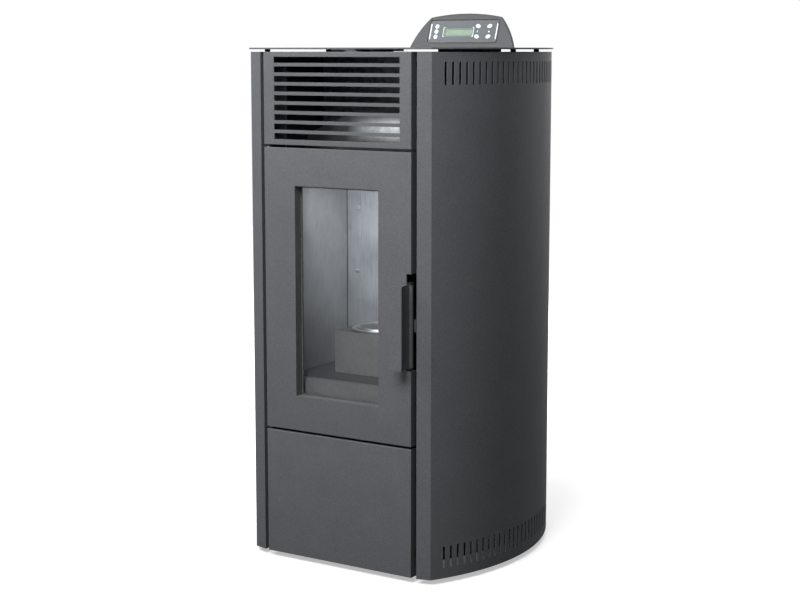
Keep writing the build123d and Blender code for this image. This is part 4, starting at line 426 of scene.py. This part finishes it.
# %% A screw at each place
CELL = (0.02, 0.05, 0.02)  # metres, wider than a screw and narrower than their spacing
REAR = 0.2  # metres, and only the rear sheet's screws lie past it
groups = {}
for corner in nodes["screws"].data.vertices:
    cell = tuple(round(v / step) for v, step in zip(corner.co, CELL))
    groups.setdefault(cell, []).append(corner.co.copy())
screws = bmesh.new()
for points in groups.values():
    xs, ys, zs = zip(*points)
    rear = max(ys) > REAR
    middle = Vector(((min(xs) + max(xs)) / 2, 0, (min(zs) + max(zs)) / 2))
    middle.y = max(ys) - HEAD_HEIGHT if rear else min(ys) + HEAD_HEIGHT
    facing = Matrix.Rotation(radians(-90 if rear else 90), 4, "X")
    # each cross stands at its own angle, which follows from the screw's place
    twist = Matrix.Rotation(7.3 * middle.z + middle.x * 11, 4, "Z")
    one = screw_mesh.copy()
    one.transform(Matrix.Translation(middle) @ facing @ twist)
    screws.from_mesh(one)
print("placed", len(groups), "screws")

# %% [markdown]
# ## Print on the control panel
# A film like this is printed from behind: a light grey border, a darker field, bars at both ends,
# brackets beside the display and small signs. Ink is only some hundredths of a millimetre thick.
# Each sign is a closed outline with its holes, filled by a flat curve and given 0.1 mm of height,
# in the plane of the panel's face, so the panel can be drawn as if it lay flat on a table.

# %% A plane on the leaning face and a helper for flat pieces
LEAN = radians(20)
# the foot of the face's middle line in metres, and the film's middle above it along the slope
FOOT_X, FOOT_Y, FOOT_Z, TO_MIDDLE = 0.108, 0.036, 1.018, 0.0345
FACE = Matrix(
    (
        (1, 0, 0, FOOT_X),
        (0, sin(LEAN), -cos(LEAN), FOOT_Y + TO_MIDDLE * sin(LEAN)),
        (0, cos(LEAN), sin(LEAN), FOOT_Z + TO_MIDDLE * cos(LEAN)),
        (0, 0, 0, 1),
    )
)


def flat_piece(name, loops, low, high, finish, plane=FACE, body="root"):
    """A flat piece in a plane, from closed loops in mm. A loop inside another is a hole."""
    curve = bpy.data.curves.new(name, "CURVE")
    curve.dimensions = "2D"
    curve.fill_mode = "BOTH"
    curve.extrude = (high - low) / 2 * MM
    for loop in loops:
        spline = curve.splines.new("POLY")
        spline.points.add(len(loop) - 1)
        for point, (u, v) in zip(spline.points, loop):
            point.co = (u * MM, v * MM, 0, 1)
        spline.use_cyclic_u = True
    outline = bpy.data.objects.new(name + " outline", curve)
    bpy.context.scene.collection.objects.link(outline)
    bpy.context.view_layer.update()
    mesh = bpy.data.meshes.new_from_object(outline)
    bpy.data.objects.remove(outline)
    mesh.transform(plane @ Matrix.Translation((0, 0, (low + high) / 2 * MM)))
    return placed(name, mesh, finish, body)


def placed(name, mesh, finish, body="root"):
    """Turns a mesh into a piece of the stove that rides on a body."""
    piece = bpy.data.objects.new(name, mesh)
    bpy.context.scene.collection.objects.link(piece)
    mesh.materials.clear()
    mesh.materials.append(finish)
    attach(piece, body)
    return piece


def rounded(u, v, width, height, radius, steps=6):
    """The outline of a rectangle with round corners, its middle at u, v."""
    loop = []
    for corner, (su, sv) in enumerate(((1, 1), (-1, 1), (-1, -1), (1, -1))):
        for i in range(steps + 1):
            angle = (corner + i / steps) * pi / 2
            loop.append(
                (
                    u + su * (width / 2 - radius) + radius * cos(angle),
                    v + sv * (height / 2 - radius) + radius * sin(angle),
                )
            )
    return loop


def leaf(u, v, length, width, turn, steps=32):
    """The outline of a leaf-shaped key: an oval, turned by degrees."""
    c, s = cos(radians(turn)), sin(radians(turn))
    loop = []
    for i in range(steps):
        a, b = length / 2 * cos(2 * pi * i / steps), width / 2 * sin(2 * pi * i / steps)
        loop.append((u + a * c - b * s, v + a * s + b * c))
    return loop


print("the panel's face is at", [round(v, 4) for v in FACE.translation])

# %% Field, bars, brackets and signs
# places on the face in mm: a column of three small keys and two pairs of leaf-shaped ones
SMALL_U, NEAR_U, FAR_U, RISE, TURN = -62, 32.5, 58.5, 11, 20
LCD_U, LCD_V = -9.5, -2
lcd_hole = rounded(LCD_U, LCD_V, 60.6, 11.6, 0.3)
field = dull("ink grey screen-printed", "464d55", "4f565e", 0.36, 3 * MM, 0.01 * MM, 0.0)
frame_green = dull("ink green display frame", "5d7a5f", "67866a", 0.3, 3 * MM, 0.01 * MM, 0.0)
key_holes = [leaf(SMALL_U, v, 9.6, 9.6, 0) for v in (RISE, 0, -RISE)]
for u, turn in ((NEAR_U, -TURN), (FAR_U, TURN)):
    key_holes += [leaf(u, v, 11.6, 8.6, turn) for v in (RISE, -RISE)]
field_loops = [rounded(0, 0, 147, 34, 4), lcd_hole, *key_holes]
flat_piece("panel_field", field_loops, -0.05, 0.0, field)
display_frame = [rounded(LCD_U, LCD_V, 67, 16.5, 2), lcd_hole]
flat_piece("display_frame", display_frame, 0.0, 0.06, frame_green)
for name, u in (("end_bar_left", -75.6), ("end_bar_right", 75.6)):
    flat_piece(name, [rounded(u, 0, 2.6, 33, 1)], -0.05, 0.1, white_print)
print("printed the field, its bars and the display's frame")

# %% Brackets beside the display, signs between and on the keys
def bracket(u, hook):
    """A bracket 17 mm tall and 1.3 mm wide whose hooks point to the side given by hook."""
    inner, outer = u + hook * 0.9, u - hook * 0.4
    tip = u + hook * 3.2
    return [
        (outer, 9), (tip, 9), (tip, 7.7), (inner, 7.7),
        (inner, -9.7), (tip, -9.7), (tip, -11), (outer, -11),
    ]


def triangle(u, v, size):
    """A triangle that points up, or down where its size is negative."""
    half = abs(size) * 0.6
    return [(u - half, v - size / 2), (u + half, v - size / 2), (u, v + size / 2)]


brackets = [bracket(-46, 1), bracket(23.5, -1)]
flat_piece("display_brackets", brackets, 0, 0.1, white_print)
signs = [triangle(FAR_U, 0, 4), rounded(NEAR_U, 0, 1.1, 5, 0.5)]
flat_piece("key_signs", signs, 0, 0.1, white_print)
sign_grey = dull("ink dark grey printed", "5c6066", "666a70", 0.4, 2 * MM, 0.01 * MM, 0.0)
key_sign = {
    "key_display": [rounded(SMALL_U, RISE, 3.6, 2.2, 0.4), rounded(SMALL_U, RISE, 2.6, 1.2, 0.2)],
    "key_mode": [rounded(SMALL_U, 0, 3, 3, 1.49), rounded(SMALL_U, 0, 2, 2, 0.99)],
    "key_set": [rounded(SMALL_U, -RISE, 3.2, 0.9, 0.4)],
    "key_heat_up": [triangle(NEAR_U, RISE, 2.6)],
    "key_heat_down": [triangle(NEAR_U, -RISE, -2.6)],
    "key_fan_up": [triangle(FAR_U, RISE, 2.6)],
    "key_fan_down": [triangle(FAR_U, -RISE, -2.6)],
}
for key, loops in key_sign.items():
    flat_piece(key + "_sign", loops, 0.5, 0.55, sign_grey, body=key)
print("printed", len(key_sign), "key signs")

# %% [markdown]
# ## The screws as one piece
# All screws share a finish and none moves, so one mesh holds them. It stands in the place of the
# construction model's plain domes, which are hidden once it replaces them.

# %% The screws become one piece
screw_heads = placed("screw_heads", as_mesh("screw heads", screws), zinc)
smoothed(screw_heads)
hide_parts("screws")

# %% [markdown]
# ## Camera
# The photograph looks at the stove's right front corner from the height of its top, with a lens
# of medium length. The camera stands where the front edges, the window and the top fall on the
# same places of the picture. A small shift lifts the stove in the frame.

# %% Camera
camera = bpy.data.objects.new("camera", bpy.data.cameras.new("camera"))
bpy.context.scene.collection.objects.link(camera)
bpy.context.scene.camera = camera
camera.location = (1.6768, -2.7586, 1.0125)
camera.rotation_euler = (radians(90 - 7.54), 0, radians(31.47))
camera.data.lens = 71.23
camera.data.shift_y = -0.05
print("camera", [round(v, 3) for v in camera.location], "lens", camera.data.lens, "mm")

# %% [markdown]
# ## Floor, backdrop and light
# A product picture of this kind is taken on a white sweep under large soft boxes. The floor is a
# wide sheet that a reader of the picture sees as white, while it still takes the stove's shadow:
# a surface of plain diffuse white, mixed with white light for the camera where nothing shades it.
# Rays that mirror see floor and backdrop darker than white, which keeps the grey sheets deep in
# tone. The small lamp inside the fire chamber is no part of a studio: it stands in for the light
# that reached the lining, and its level was fitted to the photograph, as the other lamps' were.

# %% Studio
def seen_by(tree, camera_level, glossy_level, other_level):
    """A number that differs for rays from the camera, rays that mirror, and all others."""
    path = add(tree, "LightPath").outputs
    straight = add(tree, "Math", {0: path["Is Camera Ray"], 1: path["Is Transmission Ray"]})
    mirrored = {"Factor": path["Is Glossy Ray"], "A": other_level, "B": glossy_level}
    first = add(tree, "Mix", mirrored).outputs["Result"]
    final = {"Factor": straight.outputs[0], "A": first, "B": camera_level}
    return add(tree, "Mix", final).outputs["Result"]


def studio_floor():
    mesh = bpy.data.meshes.new("floor")
    rim = [(6 * cos(2 * pi * i / 48), 6 * sin(2 * pi * i / 48), -0.0005) for i in range(48)]
    mesh.from_pydata(rim, [], [list(range(48))])
    floor = bpy.data.objects.new("floor", mesh)
    bpy.context.scene.collection.objects.link(floor)
    material, tree, shader, place = new_finish("paper white", Roughness=1.0)
    shader.inputs["Specular IOR Level"].default_value = 0.0
    shader.inputs["Emission Color"].default_value = (1, 1, 1, 1)
    # paper under the stove takes its shadow, and further out the sweep glows white
    away = add(tree, "VectorMath", {0: place}, operation="LENGTH").outputs["Value"]
    far = {"Value": away, "From Min": 0.45, "From Max": 1.3, "To Min": 0.45, "To Max": 1.0}
    glow = add(tree, "MapRange", far, interpolation_type="SMOOTHSTEP").outputs["Result"]
    tree.links.new(seen_by(tree, glow, 0.08, 0.0), shader.inputs["Emission Strength"])
    shade = seen_by(tree, 0.85, 0.2, 0.05)
    grey = add(tree, "CombineColor", {"Red": shade, "Green": shade, "Blue": shade})
    tree.links.new(grey.outputs["Color"], shader.inputs["Base Color"])
    mesh.materials.append(material)
    return floor


def soft_box(name, place, target, width, height, watts, colour="ffffff"):
    lamp = bpy.data.lights.new(name, "AREA")
    lamp.shape = "RECTANGLE"
    lamp.size, lamp.size_y, lamp.energy = width, height, watts
    lamp.color = linear(colour)[:3]
    thing = bpy.data.objects.new(name, lamp)
    thing.location = place
    thing.rotation_euler = (Vector(target) - Vector(place)).to_track_quat("-Z", "Y").to_euler()
    bpy.context.scene.collection.objects.link(thing)
    return thing


studio_floor()
world = bpy.data.worlds.new("studio")
bpy.context.scene.world = world
world.use_nodes = True
sky = world.node_tree
background = sky.nodes["Background"]
background.inputs["Color"].default_value = (1, 1, 1, 1)
sky.links.new(seen_by(sky, 1.0, 0.35, 0.065), background.inputs["Strength"])
soft_box("key light", (0.25, -2.0, 2.3), (0, -0.25, 0.8), 1.5, 1.2, 66)
soft_box("left fill", (-1.1, -1.1, 1.9), (-0.28, -0.25, 0.9), 0.5, 0.9, 14)
soft_box("rim light", (1.0, 3.2, 1.2), (0.2, 0.1, 0.6), 0.6, 1.6, 26)
soft_box("top light", (0.2, 0.3, 2.8), (0, 0, 1.0), 1.2, 1.2, 12)
soft_box("rear fill", (-0.7, 2.9, 1.5), (0, 0.2, 0.6), 1.2, 1.2, 48)
chamber = soft_box("chamber light", (0, -0.19, 0.775), (0, -0.02, 0.6), 0.2, 0.06, 0.6)
chamber.data.spread = radians(110)
bpy.context.scene.view_settings.view_transform = "Standard"
print("studio ready")
